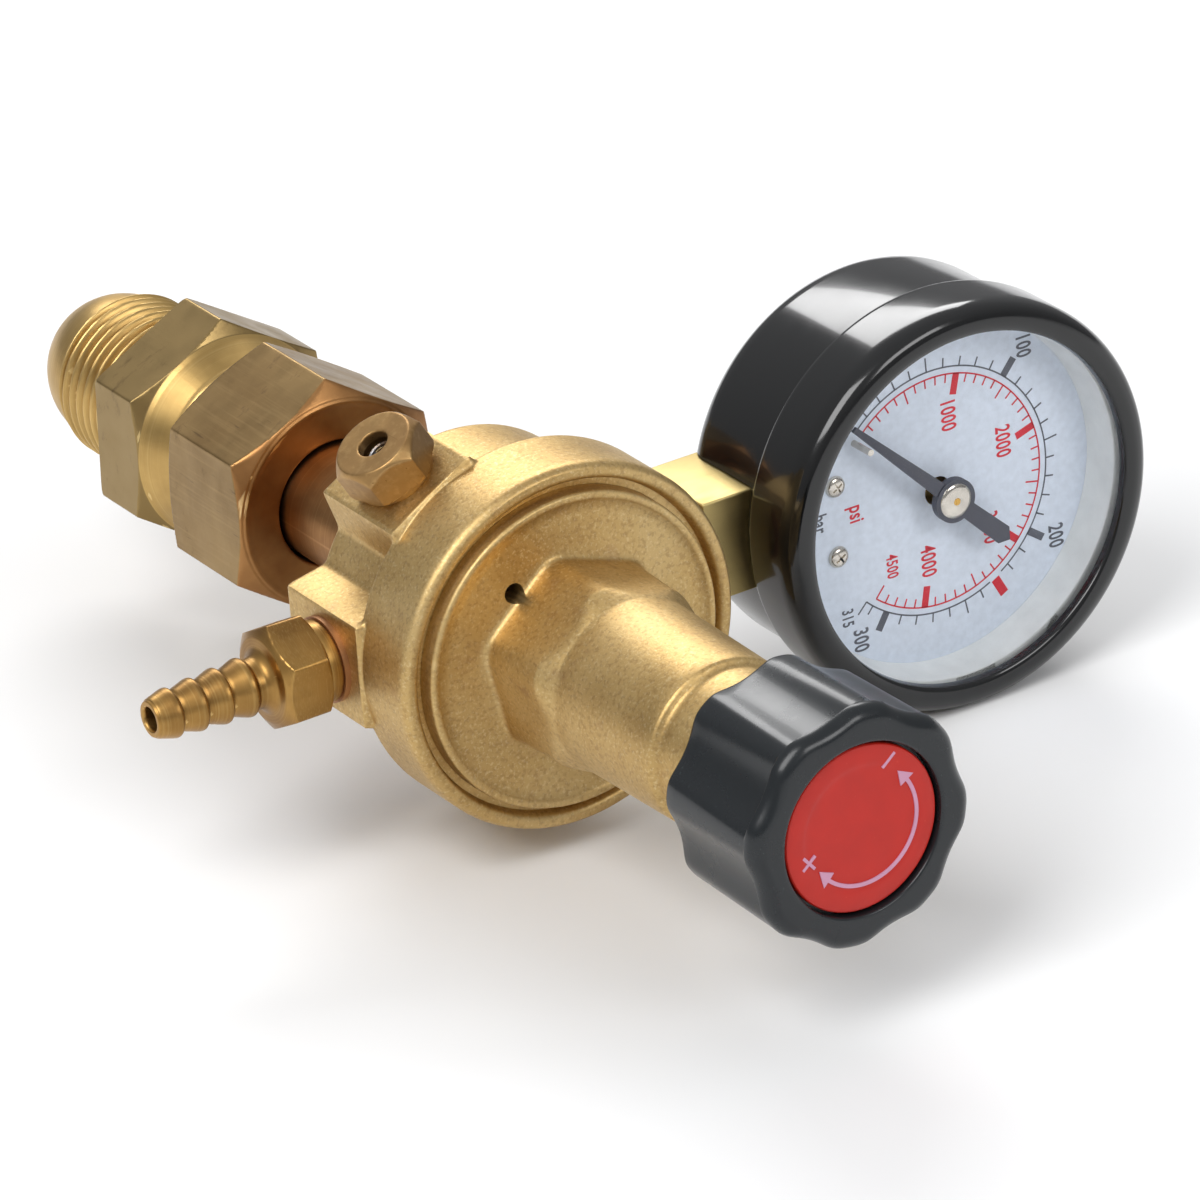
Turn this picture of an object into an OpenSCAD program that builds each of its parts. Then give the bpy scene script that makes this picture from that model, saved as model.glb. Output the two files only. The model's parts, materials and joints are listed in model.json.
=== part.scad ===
// Gas pressure regulator lying on its side. The main axis is Y: the knob faces -Y, the inlet thread
// faces +Y, the pressure gauge stands on the +X side and the hose barb on the -X side.
// The origin is the centre of the shoulder that the inlet thread starts from.

/* [Inlet adapter and union nut] */
// Crest diameter of the inlet thread, G 5/8
thread_d = 22.91; // [22.80:0.01:23.00]
// Length of the inlet thread
thread_len = 15.8; // [14:0.1:17]
// Length of the bull nose past the thread
nose_len = 11.8; // [10:0.1:12]
// Bore through the adapter
adapter_bore_d = 6; // [4:0.5:8]
// Width across flats of the adapter hexagon
adapter_af = 28.6; // [28:0.1:29]
// Length of the adapter hexagon
adapter_hex_len = 10.5; // [9:0.5:12]
// Free neck between the adapter hexagon and the union nut
union_gap = 8.7; // [6:0.1:9]
// Width across flats of the union nut
nut_af = 29.4; // [28.5:0.1:31]
// Length of the union nut
nut_len = 18.6; // [18:0.1:20]
// Diameter of the inlet stem
stem_d = 16.4; // [15:0.1:16.6]
// Length of stem showing between the union nut and the body
stem_free = 28.7; // [26:0.1:32]

/* [Body] */
// Outer diameter of the front wall
rim_d = 49; // [48.5:0.1:51]
// Length of the body along the main axis
body_len = 27.3; // [27:0.1:29]
// Length of the full-diameter front wall
front_wall_len = 11.4; // [10:0.1:12]
// Diameter of the recessed rear part
rear_d = 42.4; // [41:0.1:43]
// Distance of the flat port faces from the main axis
port_face = 24.8; // [24.5:0.1:25.5]
// Width of a port boss at its face
boss_w = 14; // [13:0.1:14.5]

/* [Bonnet] */
// Diameter of the bonnet flange
flange_d = 42.4; // [41:0.1:43]
// Width across flats of the bonnet hexagon
bonnet_af = 24; // [23.8:0.1:24.4]
// Height of the bonnet hexagon above the flange
bonnet_hex_len = 10.7; // [10:0.1:11.5]
// Diameter of the bonnet neck
neck_d = 22.6; // [22:0.1:23]
// Length of the bonnet neck past the hexagon
neck_len = 23; // [22:0.5:24]
// Diameter of the vent hole in the flange
vent_d = 2.7; // [2:0.1:3]

/* [Knob] */
// Diameter over the lobes at the front face
knob_d = 31.8; // [31:0.1:33]
// Length of the knob
knob_len = 20; // [19:0.1:20.5]
// Number of lobes
knob_lobes = 8; // [7:1:9]
// Diameter of the coloured disc
disc_d = 21.8; // [20:0.1:22]
// Pitch of the adjusting screw
screw_pitch = 1.5; // [1.25:0.25:1.5]

/* [Gauge] */
// Distance of the gauge axis from the main axis
gauge_x = 60.7; // [60:0.1:62]
// Outer diameter of the bezel
bezel_d = 56.1; // [55:0.1:58]
// Outer diameter of the gauge case
case_d = 53.2; // [52:0.1:54]
// Diameter of the window that the bezel leaves
window_d = 48; // [46:0.5:49]
// Width of the square shank that carries the gauge
shank_w = 14; // [13:0.5:15]

/* [Outlet and relief valve] */
// Width across flats of the barb fitting
barb_af = 12.7; // [12:0.1:13]
// Bore of the barb fitting
barb_bore_d = 3.2; // [2.5:0.1:3.5]
// Number of barbs
barb_count = 4; // [3:1:4]
// Spacing of the barbs
barb_pitch = 3.5; // [3:0.1:3.6]
// Width across flats of the relief valve cap
relief_af = 11; // [10:0.1:12]
// Vent hole in the relief valve cap
relief_hole_d = 4.1; // [3.5:0.1:4.5]

/* [Hidden] */
$fn = 96;
eps = 0.01;
small_fn = 48;

// Stations along the main axis, from the inlet thread's shoulder towards the knob
adapter_back = -adapter_hex_len;
nut_front = adapter_back - union_gap;
nut_back = nut_front - nut_len;
body_rear = nut_back - stem_free;
body_front = body_rear - body_len;
wall_back = body_front + front_wall_len;
port_y = body_front + 18.1;

// Chambers in the body
groove_d = flange_d + 2.2;
groove_depth = 1.6;
seat_ledge = body_front + 8.3;
chamber_d = 35;
chamber_floor = seat_ledge + 3.6;
nozzle_d = 12;
nozzle_back = chamber_floor + 3.4;
high_chamber_d = 11;
stem_socket_d = 15;
stem_tip = body_rear - 5;
port_thread_d = 9.7;
port_thread_floor = 13.6;
port_thread_end = 16.5;
drilling_d = 2.4;
low_drilling_rho = 14.8;
rim_chamfer = 1;
boss_draft = 0.2;
boss_foot = 12;
boss_front_over = 1.6;

// Diaphragm stack
diaphragm_t = 1.2;
slip_ring_t = 0.8;
diaphragm_front = seat_ledge - diaphragm_t;
bonnet_seat = diaphragm_front - slip_ring_t;
plate_t = 2.4;
plate_front = diaphragm_front - plate_t;
plate_d = 27;
button_stud_d = 5;
stud_fit = 0.05;
button_lip = 1.6;
lower_button_back = seat_ledge + button_lip;

// Bonnet
flange_face = body_front - 1;
hex_top = flange_face - bonnet_hex_len;
cone_len = 2.5;
neck_root_d = 23.8;
hex_corner_d = 26.2;
neck_end = hex_top - neck_len;
spigot_d = neck_d - 2;
spigot_end = neck_end - 17.5;
spring_bore_d = 18.4;
spring_bore_end = neck_end - 6;
plate_bore_d = 33;
plate_bore_end = bonnet_seat - 4;
bonnet_hex_turn = 41;
vent_rho = 13.3;
vent_angle = 127;

// Adjusting screw and knob
screw_d = 10;
screw_fit = 0.06;
turns_in = 4;
screw_travel = turns_in * screw_pitch;
screw_back_off = 1.6;
knob_back = neck_end - 10.2;
knob_front = knob_back - knob_len;
knob_bore_d = spigot_d + 1;
knob_roof = spigot_end - screw_travel - 0.5;
knob_turn = 36;
flute_r = 11;
flute_depth = 1.7;
knob_draft = -0.4;
knob_edge = 2;
disc_gap = 0.6;
disc_seat = knob_front + 2;
disc_face = knob_front + 0.6;
screw_tip = -120;
insert_d = 12;
retainer_t = 1.1;
retainer_d = screw_d + 4;
retainer_gap = 3;

// Springs
main_wire = 2.4;
main_mean_r = 7.6;
main_turns = 6;
poppet_wire = 0.6;
poppet_mean_r = 3;
poppet_turns = 2.5;
spring_sides = 8;
button_d = 17.6;
button_t = 2.6;
button_back = screw_tip + button_t;
button_pilot_d = 9.6;
button_pilot_end = button_back + 2.4;

// Poppet
poppet_d = 8.4;
poppet_len = 2.2;
poppet_pin_d = 1.8;
orifice_d = 2.6;
poppet_seal_t = 1.2;
poppet_front = nozzle_back;
poppet_back = poppet_front + poppet_seal_t + poppet_len;
pin_gap = 0.05;

// Inlet stem, union nut and adapter
nut_bore_d = stem_d + 0.8;
nut_wall = 6.6;
nut_thread_d = 21.9;
nut_turn = 27.3;
stem_collar_d = 20.6;
stem_collar_back = nut_back + nut_wall + 0.35;
stem_collar_front = stem_collar_back + 3.6;
stem_bore_d = 5;
washer_t = 1.4;
adapter_foot = stem_collar_front + washer_t;
adapter_thread_d = 21.2;
adapter_neck_d = 21;
adapter_ring_d = 28.4;
filter_len = 7;
filter_d = stem_bore_d + 3;
hex_chamfer = 0.58;

// Gauge stations
gauge_z = 0;
shank_start = port_face + 2.8;
shank_neck_d = 12.4;
port_seal_t = 0.8;
case_back = port_y + 8.4;
case_wall = 1;
bezel_front = body_front - 1.15;
bezel_back = bezel_front + 10.5;
lens_front = bezel_front + 1.5;
lens_t = 1.5;
dial_face = bezel_front + 8.1;
dial_screw_at = [[-15.7, 5.6], [-15.9, -4.3]];
dial_screw_r = 1.5;
dial_screw_h = 0.8;
dial_t = 0.5;
dial_d = 49.6;
dial_hole_d = 4;
inner_ring_back = dial_face;
case_front = lens_front + lens_t;
shank_end = gauge_x - case_d / 2 + 3;
foot_end = shank_end + 9;
foot_w = 8;

// Gauge movement
plate_gap_front = dial_face + 2.2;
movement_plate_t = 0.8;
plate_gap_back = plate_gap_front + movement_plate_t + 4;
module_mm = 0.3;
pinion_teeth = 10;
sector_teeth = 60;
pinion_r = module_mm * pinion_teeth / 2;
sector_r = module_mm * sector_teeth / 2;
tooth_share = 0.33;
gear_t = 1.6;
gear_y = plate_gap_front + movement_plate_t + 1.2;
sector_rest = 112;
arbor_d = 1.4;
arbor_hole_d = 1.5;
plate_w = 13;
tube_r = 17.5;
tube_w = 8;
tube_t = 1.8;
tube_start = 196;
tube_sweep = 244;
tube_y = port_y + 0.6;
tube_tip_angle = tube_start + tube_sweep;
gear_centres = pinion_r + sector_r;
pillar_z = 5.1;
tail_angle = 25;
tail_len = 5;
tail_pin_d = 0.8;
link_t = 0.5;
link_y = gear_y - 0.15 - link_t;
link_w = 1.6;
link_len = 5.6;
link_angle = 66;

// Pointer
pointer_y = dial_face - 3.4;
pointer_t = 0.5;
pointer_len = 20.5;
pointer_tail = 11.5;
stop_pin_rho = 16.3;
stop_pin_d = 0.9;
stop_pin_lead = 4.2;
pointer_angle = 135;
hub_d = 6;
cap_d = 4.8;
cap_face = dial_face - 4.4;

// Outlet fitting along -X
barb_angle = 180;
barb_tip = 50.7;
barb_tip_d = 5;
barb_max_d = 7.7;
barb_min_d = 6.4;
barb_root_d = 4.9;
barb_first = barb_tip - 3.8;
barb_neck_d = 6.4;
barb_hex_face = 34.2;
barb_hex_back = 27.8;
barb_shank_d = 10.6;
barb_hex_turn = 33;

// Relief valve
relief_angle = 120;
relief_face = 31;
relief_face_d = 10.3;
relief_turn = -42;
relief_bore_d = 6.2;
relief_seat = 17;
relief_spring_end = 29.6;
relief_wire = 0.7;
relief_mean_r = 1.9;
relief_turns = 6;
relief_poppet_d = 5.4;
relief_poppet_len = 3;
relief_poppet_base = relief_seat + 0.8;
gauge_angle = 0;

// ---------------------------------------------------------------- shape helpers

// Turns a [radius, y] outline about the main axis
module lathe_y(points, fn = 96) {
  rotate([-90, 0, 0]) rotate_extrude($fn = fn) polygon(points);
}

// A plain round bar along Y from one station to another
module bar_y(d, y0, y1, fn = 96) {
  translate([0, min(y0, y1), 0]) rotate([-90, 0, 0]) cylinder(d = d, h = abs(y1 - y0), $fn = fn);
}

// Places a child that is drawn along +X on the port plane at an angle from +X towards +Z
module at_port(angle) {
  translate([0, port_y, 0]) rotate([0, -angle, 0]) children();
}

// Turns a [radius, distance] outline about a port's axis
module lathe_port(angle, points, fn = 64) {
  at_port(angle) rotate([0, 90, 0]) rotate_extrude($fn = fn) polygon(points);
}

// A plain round bar along a port's axis
module bar_port(angle, d, x0, x1, fn = 64) {
  at_port(angle) translate([x0, 0, 0]) rotate([0, 90, 0]) cylinder(d = d, h = x1 - x0, $fn = fn);
}

// A hexagonal bar along +Z, af across flats, with a corner turned to the given angle
module hex_bar(af, h, turn) {
  rotate([0, 0, turn]) linear_extrude(h) circle(d = af / cos(30), $fn = 6);
}

// A hexagonal bar along Y
module hex_y(af, y0, y1, turn) {
  translate([0, y0, 0]) rotate([-90, 0, 0]) hex_bar(af, y1 - y0, -turn);
}

// A round wire coil along Y, swept as a polyhedron
function ring_point(r, wire, a, b, y) =
  [(r + wire / 2 * cos(b)) * cos(a), y + wire / 2 * sin(b), (r + wire / 2 * cos(b)) * sin(a)];
module coil_y(mean_r, wire, turns, y0, y1) {
  per_turn = 20;
  rings = floor(turns * per_turn);
  rise = (y1 - y0 - wire) / turns;
  points = [
    for (i = [0 : rings]) let (a = i * 360 / per_turn)
      for (k = [0 : spring_sides - 1])
        ring_point(mean_r, wire, a, k * 360 / spring_sides, y0 + wire / 2 + rise * a / 360)
  ];
  sides = [
    for (i = [0 : rings - 1]) for (k = [0 : spring_sides - 1]) let (n = (k + 1) % spring_sides)
      [i * spring_sides + k, i * spring_sides + n, (i + 1) * spring_sides + n, (i + 1) * spring_sides + k]
  ];
  start_cap = [[for (k = [0 : spring_sides - 1]) spring_sides - 1 - k]];
  end_cap = [[for (k = [0 : spring_sides - 1]) rings * spring_sides + k]];
  polyhedron(points = points, faces = concat(sides, start_cap, end_cap));
}

// ---------------------------------------------------------------- body and bonnet

// One radial boss with a flat port face and drafted sides
module port_boss(angle) {
  foot_w2 = boss_w / 2 + (port_face - boss_foot) * boss_draft;
  outline = [[boss_foot, -foot_w2], [port_face, -boss_w / 2], [port_face, boss_w / 2], [boss_foot, foot_w2]];
  rotate([0, -angle, 0])
    translate([0, wall_back - boss_front_over, 0])
      rotate([-90, 0, 0])
        linear_extrude(body_rear - wall_back + boss_front_over) polygon(outline);
}

module body_outside() {
  lathe_y([
    [0, body_front], [rim_d / 2 - rim_chamfer, body_front], [rim_d / 2, body_front + rim_chamfer],
    [rim_d / 2, wall_back], [rear_d / 2, wall_back + 0.6], [rear_d / 2, body_rear - 0.8],
    [rear_d / 2 - 0.8, body_rear], [0, body_rear]
  ], 128);
  for (a = [gauge_angle, relief_angle, barb_angle]) port_boss(a);
}

module body() {
  color("darkgoldenrod")
  difference() {
    body_outside();
    bar_y(groove_d, body_front - 1, body_front + groove_depth, 128);
    bar_y(flange_d, body_front, seat_ledge, 128);
    bar_y(chamber_d, seat_ledge - eps, chamber_floor);
    bar_y(nozzle_d, chamber_floor - eps, nozzle_back);
    bar_y(high_chamber_d, nozzle_back - eps, stem_tip + eps);
    bar_y(stem_socket_d, stem_tip, body_rear + 1);
    for (a = [gauge_angle, relief_angle, barb_angle]) bar_port(a, port_thread_d, port_thread_floor, port_face + 2);
    bar_port(gauge_angle, drilling_d, high_chamber_d / 2 - 1, port_thread_floor + 1, 32);
    for (a = [relief_angle, barb_angle])
      rotate([0, -a, 0]) translate([low_drilling_rho, 0, 0])
        bar_y(drilling_d, chamber_floor - 1, port_y, 32);
  }
}

module bonnet() {
  color("peru")
  difference() {
    union() {
      lathe_y([
        [0, flange_face], [flange_d / 2 - 0.4, flange_face], [flange_d / 2, flange_face + 0.4],
        [flange_d / 2, bonnet_seat], [0, bonnet_seat]
      ], 128);
      intersection() {
        hex_y(bonnet_af, hex_top - cone_len, flange_face + 1, bonnet_hex_turn);
        lathe_y([
          [0, hex_top - cone_len], [neck_root_d / 2, hex_top - cone_len], [hex_corner_d / 2 - 0.3, hex_top],
          [hex_corner_d / 2, flange_face + 1], [0, flange_face + 1]
        ]);
      }
      lathe_y([
        [0, neck_end], [neck_d / 2 - 0.3, neck_end], [neck_d / 2, neck_end + 0.4],
        [neck_root_d / 2, hex_top - cone_len], [0, hex_top - cone_len]
      ]);
      bar_y(spigot_d, spigot_end, neck_end + 1);
    }
    bar_y(plate_bore_d, plate_bore_end, bonnet_seat + 1);
    bar_y(spring_bore_d, spring_bore_end, plate_bore_end + 1);
    bar_y(screw_d + 2 * screw_fit, spigot_end - 1, spring_bore_end + 1);
    rotate([0, -vent_angle, 0]) translate([vent_rho, 0, 0])
      bar_y(vent_d, flange_face - 1, plate_bore_end + 1, 32);
  }
}

// ---------------------------------------------------------------- knob and adjusting screw

// Slanted groove between two lobes, following the knob's draft
module knob_flute() {
  translate([knob_d / 2 - flute_depth + flute_r, knob_front, 0])
    rotate([-90, 0, -atan(knob_draft / knob_len)])
      translate([0, 0, -3]) cylinder(r = flute_r, h = knob_len + 6, $fn = 64);
}

module knob() {
  color("dimgray")
  difference() {
    lathe_y([
      [0, knob_front], [knob_d / 2 - knob_edge, knob_front], [knob_d / 2, knob_front + knob_edge],
      [knob_d / 2 + knob_draft, knob_back - 0.6], [knob_d / 2 + knob_draft - 0.6, knob_back], [0, knob_back]
    ]);
    for (k = [0 : knob_lobes - 1])
      rotate([0, -(knob_turn + (k + 0.5) * 360 / knob_lobes), 0]) knob_flute();
    bar_y(knob_bore_d, knob_roof, knob_back + 1);
    bar_y(insert_d, disc_seat - eps, knob_roof + eps);
    bar_y(disc_d + 2 * disc_gap, knob_front - 1, disc_seat);
  }
}

module knob_disc() {
  color("firebrick")
  lathe_y([
    [0, disc_face + 0.25], [disc_d / 2 - 3, disc_face + 0.25], [disc_d / 2 - 2.4, disc_face],
    [disc_d / 2 - 0.5, disc_face], [disc_d / 2, disc_face + 0.4], [disc_d / 2, disc_seat], [0, disc_seat]
  ]);
}

module adjusting_screw() {
  color("silver")
  union() {
    bar_y(insert_d, disc_seat, knob_roof);
    bar_y(screw_d, knob_roof - eps, screw_tip - 1.4);
    lathe_y([[0, screw_tip - 1.4 - eps], [screw_d / 2, screw_tip - 1.4 - eps], [2, screw_tip], [0, screw_tip]]);
  }
}

// Snap ring that keeps the screw from being wound right out
module screw_retainer() {
  color("gray")
  translate([0, spring_bore_end + screw_back_off, 0]) rotate([-90, 0, 0])
    difference() {
      cylinder(d = retainer_d, h = retainer_t);
      translate([0, 0, -1]) cylinder(d = screw_d, h = retainer_t + 2);
      translate([0, -retainer_gap / 2, -1]) cube([retainer_d, retainer_gap, retainer_t + 2]);
    }
}

module spring_button() {
  color("lightgray")
  lathe_y([
    [0, screw_tip], [button_d / 2, screw_tip], [button_d / 2, button_back],
    [button_pilot_d / 2, button_back], [button_pilot_d / 2 - 0.6, button_pilot_end], [0, button_pilot_end]
  ]);
}

module main_spring() {
  color("slategray")
  coil_y(main_mean_r, main_wire, main_turns, button_back, plate_front);
}

// ---------------------------------------------------------------- diaphragm and valve

module diaphragm_plate() {
  color("gainsboro")
  lathe_y([
    [0, plate_front - 2.6], [button_pilot_d / 2 - 0.6, plate_front - 2.6], [button_pilot_d / 2, plate_front],
    [plate_d / 2 - 0.8, plate_front], [plate_d / 2, plate_front + 0.8], [plate_d / 2, diaphragm_front],
    [0, diaphragm_front]
  ]);
}

module diaphragm() {
  color("black")
  lathe_y([
    [button_stud_d / 2 + stud_fit, diaphragm_front], [flange_d / 2, diaphragm_front],
    [flange_d / 2, seat_ledge], [button_stud_d / 2 + stud_fit, seat_ledge]
  ]);
}

module slip_ring() {
  color("khaki")
  lathe_y([
    [plate_bore_d / 2, bonnet_seat], [flange_d / 2, bonnet_seat], [flange_d / 2, diaphragm_front],
    [plate_bore_d / 2, diaphragm_front]
  ]);
}

module lower_button() {
  color("goldenrod")
  union() {
    bar_y(button_stud_d, diaphragm_front, seat_ledge + eps, small_fn);
    bar_y(12, seat_ledge, lower_button_back, small_fn);
  }
}

module nozzle() {
  color("gold")
  difference() {
    union() {
      bar_y(nozzle_d, chamber_floor, nozzle_back);
      hex_y(9, chamber_floor - 0.9, chamber_floor + eps, 0);
    }
    bar_y(orifice_d, chamber_floor - 2, nozzle_back + 1, small_fn);
  }
}

module poppet() {
  color("gold")
  union() {
    bar_y(poppet_pin_d, lower_button_back + pin_gap, poppet_front + poppet_seal_t + eps, 32);
    bar_y(poppet_d, poppet_front + poppet_seal_t, poppet_back, small_fn);
    bar_y(2 * poppet_mean_r - poppet_wire - 0.6, poppet_back - eps, poppet_back + 0.8, small_fn);
  }
}

module poppet_seal() {
  color("white")
  difference() {
    bar_y(poppet_d - 1, poppet_front, poppet_front + poppet_seal_t, small_fn);
    bar_y(poppet_pin_d, poppet_front - 1, poppet_front + poppet_seal_t + 1, 32);
  }
}

module poppet_spring() {
  color("silver")
  coil_y(poppet_mean_r, poppet_wire, poppet_turns, poppet_back, stem_tip);
}

// ---------------------------------------------------------------- inlet

module inlet_stem() {
  color("sienna")
  difference() {
    union() {
      bar_y(stem_socket_d, stem_tip, body_rear + 1);
      lathe_y([
        [0, body_rear + 0.6], [stem_d / 2, body_rear + 0.6], [stem_d / 2, stem_collar_back],
        [stem_collar_d / 2, stem_collar_back], [stem_collar_d / 2, stem_collar_front - 0.6],
        [stem_collar_d / 2 - 0.6, stem_collar_front], [0, stem_collar_front]
      ]);
    }
    bar_y(stem_bore_d, stem_tip - 1, stem_collar_front + 1, small_fn);
    bar_y(filter_d, stem_collar_front - filter_len, stem_collar_front + 1, small_fn);
  }
}

module inlet_filter() {
  color("tan")
  difference() {
    bar_y(filter_d, stem_collar_front - filter_len, stem_collar_front, small_fn);
    bar_y(filter_d - 3, stem_collar_front - filter_len + 2, stem_collar_front + 1, small_fn);
  }
}

// Flat copper washer between the stem's foot and the body
module stem_seal() {
  color("chocolate")
  lathe_y([
    [stem_socket_d / 2, body_rear], [stem_d / 2 + 0.9, body_rear], [stem_d / 2 + 0.9, body_rear + 0.6],
    [stem_socket_d / 2, body_rear + 0.6]
  ]);
}

module union_nut() {
  corner = nut_af / 2 / cos(30);
  chamfer = (corner - nut_af / 2) * hex_chamfer;
  color("olive")
  difference() {
    intersection() {
      hex_y(nut_af, nut_back, nut_front, nut_turn);
      lathe_y([
        [0, nut_back], [nut_af / 2 - 0.8, nut_back], [corner + 0.3, nut_back + chamfer + 1],
        [corner + 0.3, nut_front - chamfer], [nut_af / 2, nut_front], [0, nut_front]
      ]);
    }
    bar_y(nut_bore_d, nut_back - 1, nut_back + nut_wall + 1);
    bar_y(nut_thread_d, nut_back + nut_wall, nut_front + 1);
  }
}

module seat_washer() {
  color("white")
  lathe_y([
    [filter_d / 2, stem_collar_front], [stem_collar_d / 2 - 0.6, stem_collar_front],
    [stem_collar_d / 2 - 0.6, adapter_foot], [filter_d / 2, adapter_foot]
  ]);
}

module inlet_adapter() {
  corner = adapter_af / 2 / cos(30);
  thread_r = thread_d / 2;
  dome_r = thread_r - 0.9;
  tip_r = 4.5;
  steps = 10;
  dome = [
    for (i = [0 : steps]) let (a = i * acos(tip_r / dome_r) / steps)
      [dome_r * cos(a), thread_len + 0.9 + (nose_len - 0.9) * sin(a) / sin(acos(tip_r / dome_r))]
  ];
  color("gold")
  difference() {
    union() {
      intersection() {
        hex_y(adapter_af, adapter_back, 0, nut_turn);
        lathe_y([
          [0, adapter_back], [adapter_ring_d / 2, adapter_back],
          [corner + 0.1, adapter_back + (corner - adapter_ring_d / 2) * hex_chamfer],
          [corner + 0.1, -0.9], [adapter_af / 2 - 0.2, 0], [0, 0]
        ]);
      }
      bar_y(thread_d, -1, thread_len);
      lathe_y(concat([[0, thread_len - 1], [thread_r, thread_len - 1], [thread_r, thread_len]], dome,
        [[0, thread_len + nose_len]]));
      lathe_y([
        [0, adapter_foot], [adapter_thread_d / 2, adapter_foot], [adapter_thread_d / 2, nut_front - 1],
        [adapter_neck_d / 2, nut_front - 0.7], [adapter_neck_d / 2, adapter_back - 3],
        [adapter_neck_d / 2 + 0.6, adapter_back - 1.2], [adapter_neck_d / 2 + 2, adapter_back],
        [0, adapter_back]
      ]);
    }
    bar_y(adapter_bore_d, adapter_foot - 1, thread_len + nose_len + 1, small_fn);
  }
}

// ---------------------------------------------------------------- relief valve

module relief_cap() {
  corner = relief_af / 2 / cos(30);
  hex_back = port_face + 0.9;
  color("rosybrown")
  difference() {
    union() {
      intersection() {
        at_port(relief_angle) translate([hex_back, 0, 0]) rotate([0, 90, 0])
          hex_bar(relief_af, relief_face - hex_back, 90 + relief_turn);
        lathe_port(relief_angle, [
          [0, hex_back], [corner + 0.1, hex_back], [corner + 0.1, relief_face - 1.3],
          [relief_face_d / 2, relief_face], [0, relief_face]
        ]);
      }
      bar_port(relief_angle, 10.4, port_face, hex_back + eps);
      bar_port(relief_angle, port_thread_d, relief_seat - 1.6, port_face + eps);
    }
    bar_port(relief_angle, relief_hole_d, relief_spring_end - 1, relief_face + 1, small_fn);
    bar_port(relief_angle, relief_bore_d, relief_seat, relief_spring_end, small_fn);
    bar_port(relief_angle, 2.4, relief_seat - 3, relief_seat + 1, 32);
  }
}

module relief_spring() {
  color("silver")
  at_port(relief_angle) rotate([0, 0, -90])
    coil_y(relief_mean_r, relief_wire, relief_turns, relief_poppet_base + relief_poppet_len, relief_spring_end);
}

module relief_poppet() {
  color("goldenrod")
  lathe_port(relief_angle, [
    [0, relief_poppet_base], [relief_poppet_d / 2, relief_poppet_base],
    [relief_poppet_d / 2, relief_poppet_base + relief_poppet_len],
    [0, relief_poppet_base + relief_poppet_len]
  ], small_fn);
}

module relief_seal() {
  color("black")
  bar_port(relief_angle, relief_poppet_d - 0.8, relief_seat, relief_poppet_base, small_fn);
}

// ---------------------------------------------------------------- hose barb

// Outline of the barbed tail, one sharp-backed cone for each barb
function barb_r(k) = (barb_min_d + (barb_max_d - barb_min_d) * k / max(1, barb_count - 1)) / 2;
function barb_outline() = [
  for (k = [barb_count - 1 : -1 : 0]) each [
    [barb_root_d / 2 + 0.1 * k, barb_first - k * barb_pitch - 0.35],
    [barb_r(k), barb_first - k * barb_pitch],
    [barb_r(k), barb_first - k * barb_pitch + 0.7]
  ]
];

module hose_barb() {
  corner = barb_af / 2 / cos(30);
  last = barb_first - (barb_count - 1) * barb_pitch;
  color("darkkhaki")
  difference() {
    union() {
      intersection() {
        at_port(barb_angle) translate([barb_hex_back, 0, 0]) rotate([0, 90, 0])
          hex_bar(barb_af, barb_hex_face - barb_hex_back, barb_hex_turn);
        lathe_port(barb_angle, [
          [0, barb_hex_back], [corner - 0.5, barb_hex_back], [corner + 0.1, barb_hex_back + 0.5],
          [corner + 0.1, barb_hex_face - 1], [barb_af / 2 - 0.6, barb_hex_face], [0, barb_hex_face]
        ]);
      }
      lathe_port(barb_angle, concat(
        [[0, barb_hex_face - 1], [barb_neck_d / 2 + 1.2, barb_hex_face - 1],
         [barb_neck_d / 2 + 0.8, barb_hex_face], [barb_neck_d / 2, barb_hex_face + 0.6],
         [barb_neck_d / 2, last - 0.6]],
        barb_outline(),
        [[barb_tip_d / 2, barb_tip], [0, barb_tip]]
      ));
      lathe_port(barb_angle, [
        [0, port_face + port_seal_t], [barb_shank_d / 2, port_face + port_seal_t],
        [barb_shank_d / 2 - 0.3, barb_hex_back + eps],
        [0, barb_hex_back + eps]
      ]);
      bar_port(barb_angle, port_thread_d, port_thread_end, port_face + port_seal_t + eps);
    }
    bar_port(barb_angle, barb_bore_d, port_thread_end - 1, barb_tip + 1, small_fn);
  }
}

module barb_seal() {
  color("chocolate")
  port_seal(barb_angle, barb_shank_d + 0.8);
}

// ---------------------------------------------------------------- gauge

module at_gauge() {
  translate([gauge_x, 0, gauge_z]) children();
}

module gauge_shank() {
  color("darkkhaki")
  difference() {
    union() {
      translate([shank_start, port_y - shank_w / 2, gauge_z - shank_w / 2])
        cube([shank_end - shank_start, shank_w, shank_w]);
      translate([shank_end - eps, tube_y - tube_w / 2 - 0.4, gauge_z - foot_w / 2])
        cube([foot_end - shank_end, tube_w + 0.8, foot_w]);
      bar_port(gauge_angle, shank_neck_d, port_face + port_seal_t, shank_start + eps);
      bar_port(gauge_angle, port_thread_d, port_thread_end, port_face + port_seal_t + eps);
    }
    bar_port(gauge_angle, drilling_d, port_thread_end - 1, shank_end + 2, 32);
  }
}

// Flat sealing washer at a port face
module port_seal(angle, d) {
  lathe_port(angle, [
    [port_thread_d / 2, port_face], [d / 2, port_face], [d / 2, port_face + port_seal_t],
    [port_thread_d / 2, port_face + port_seal_t]
  ]);
}

module gauge_seal() {
  color("chocolate")
  port_seal(gauge_angle, shank_neck_d + 0.8);
}

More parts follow.
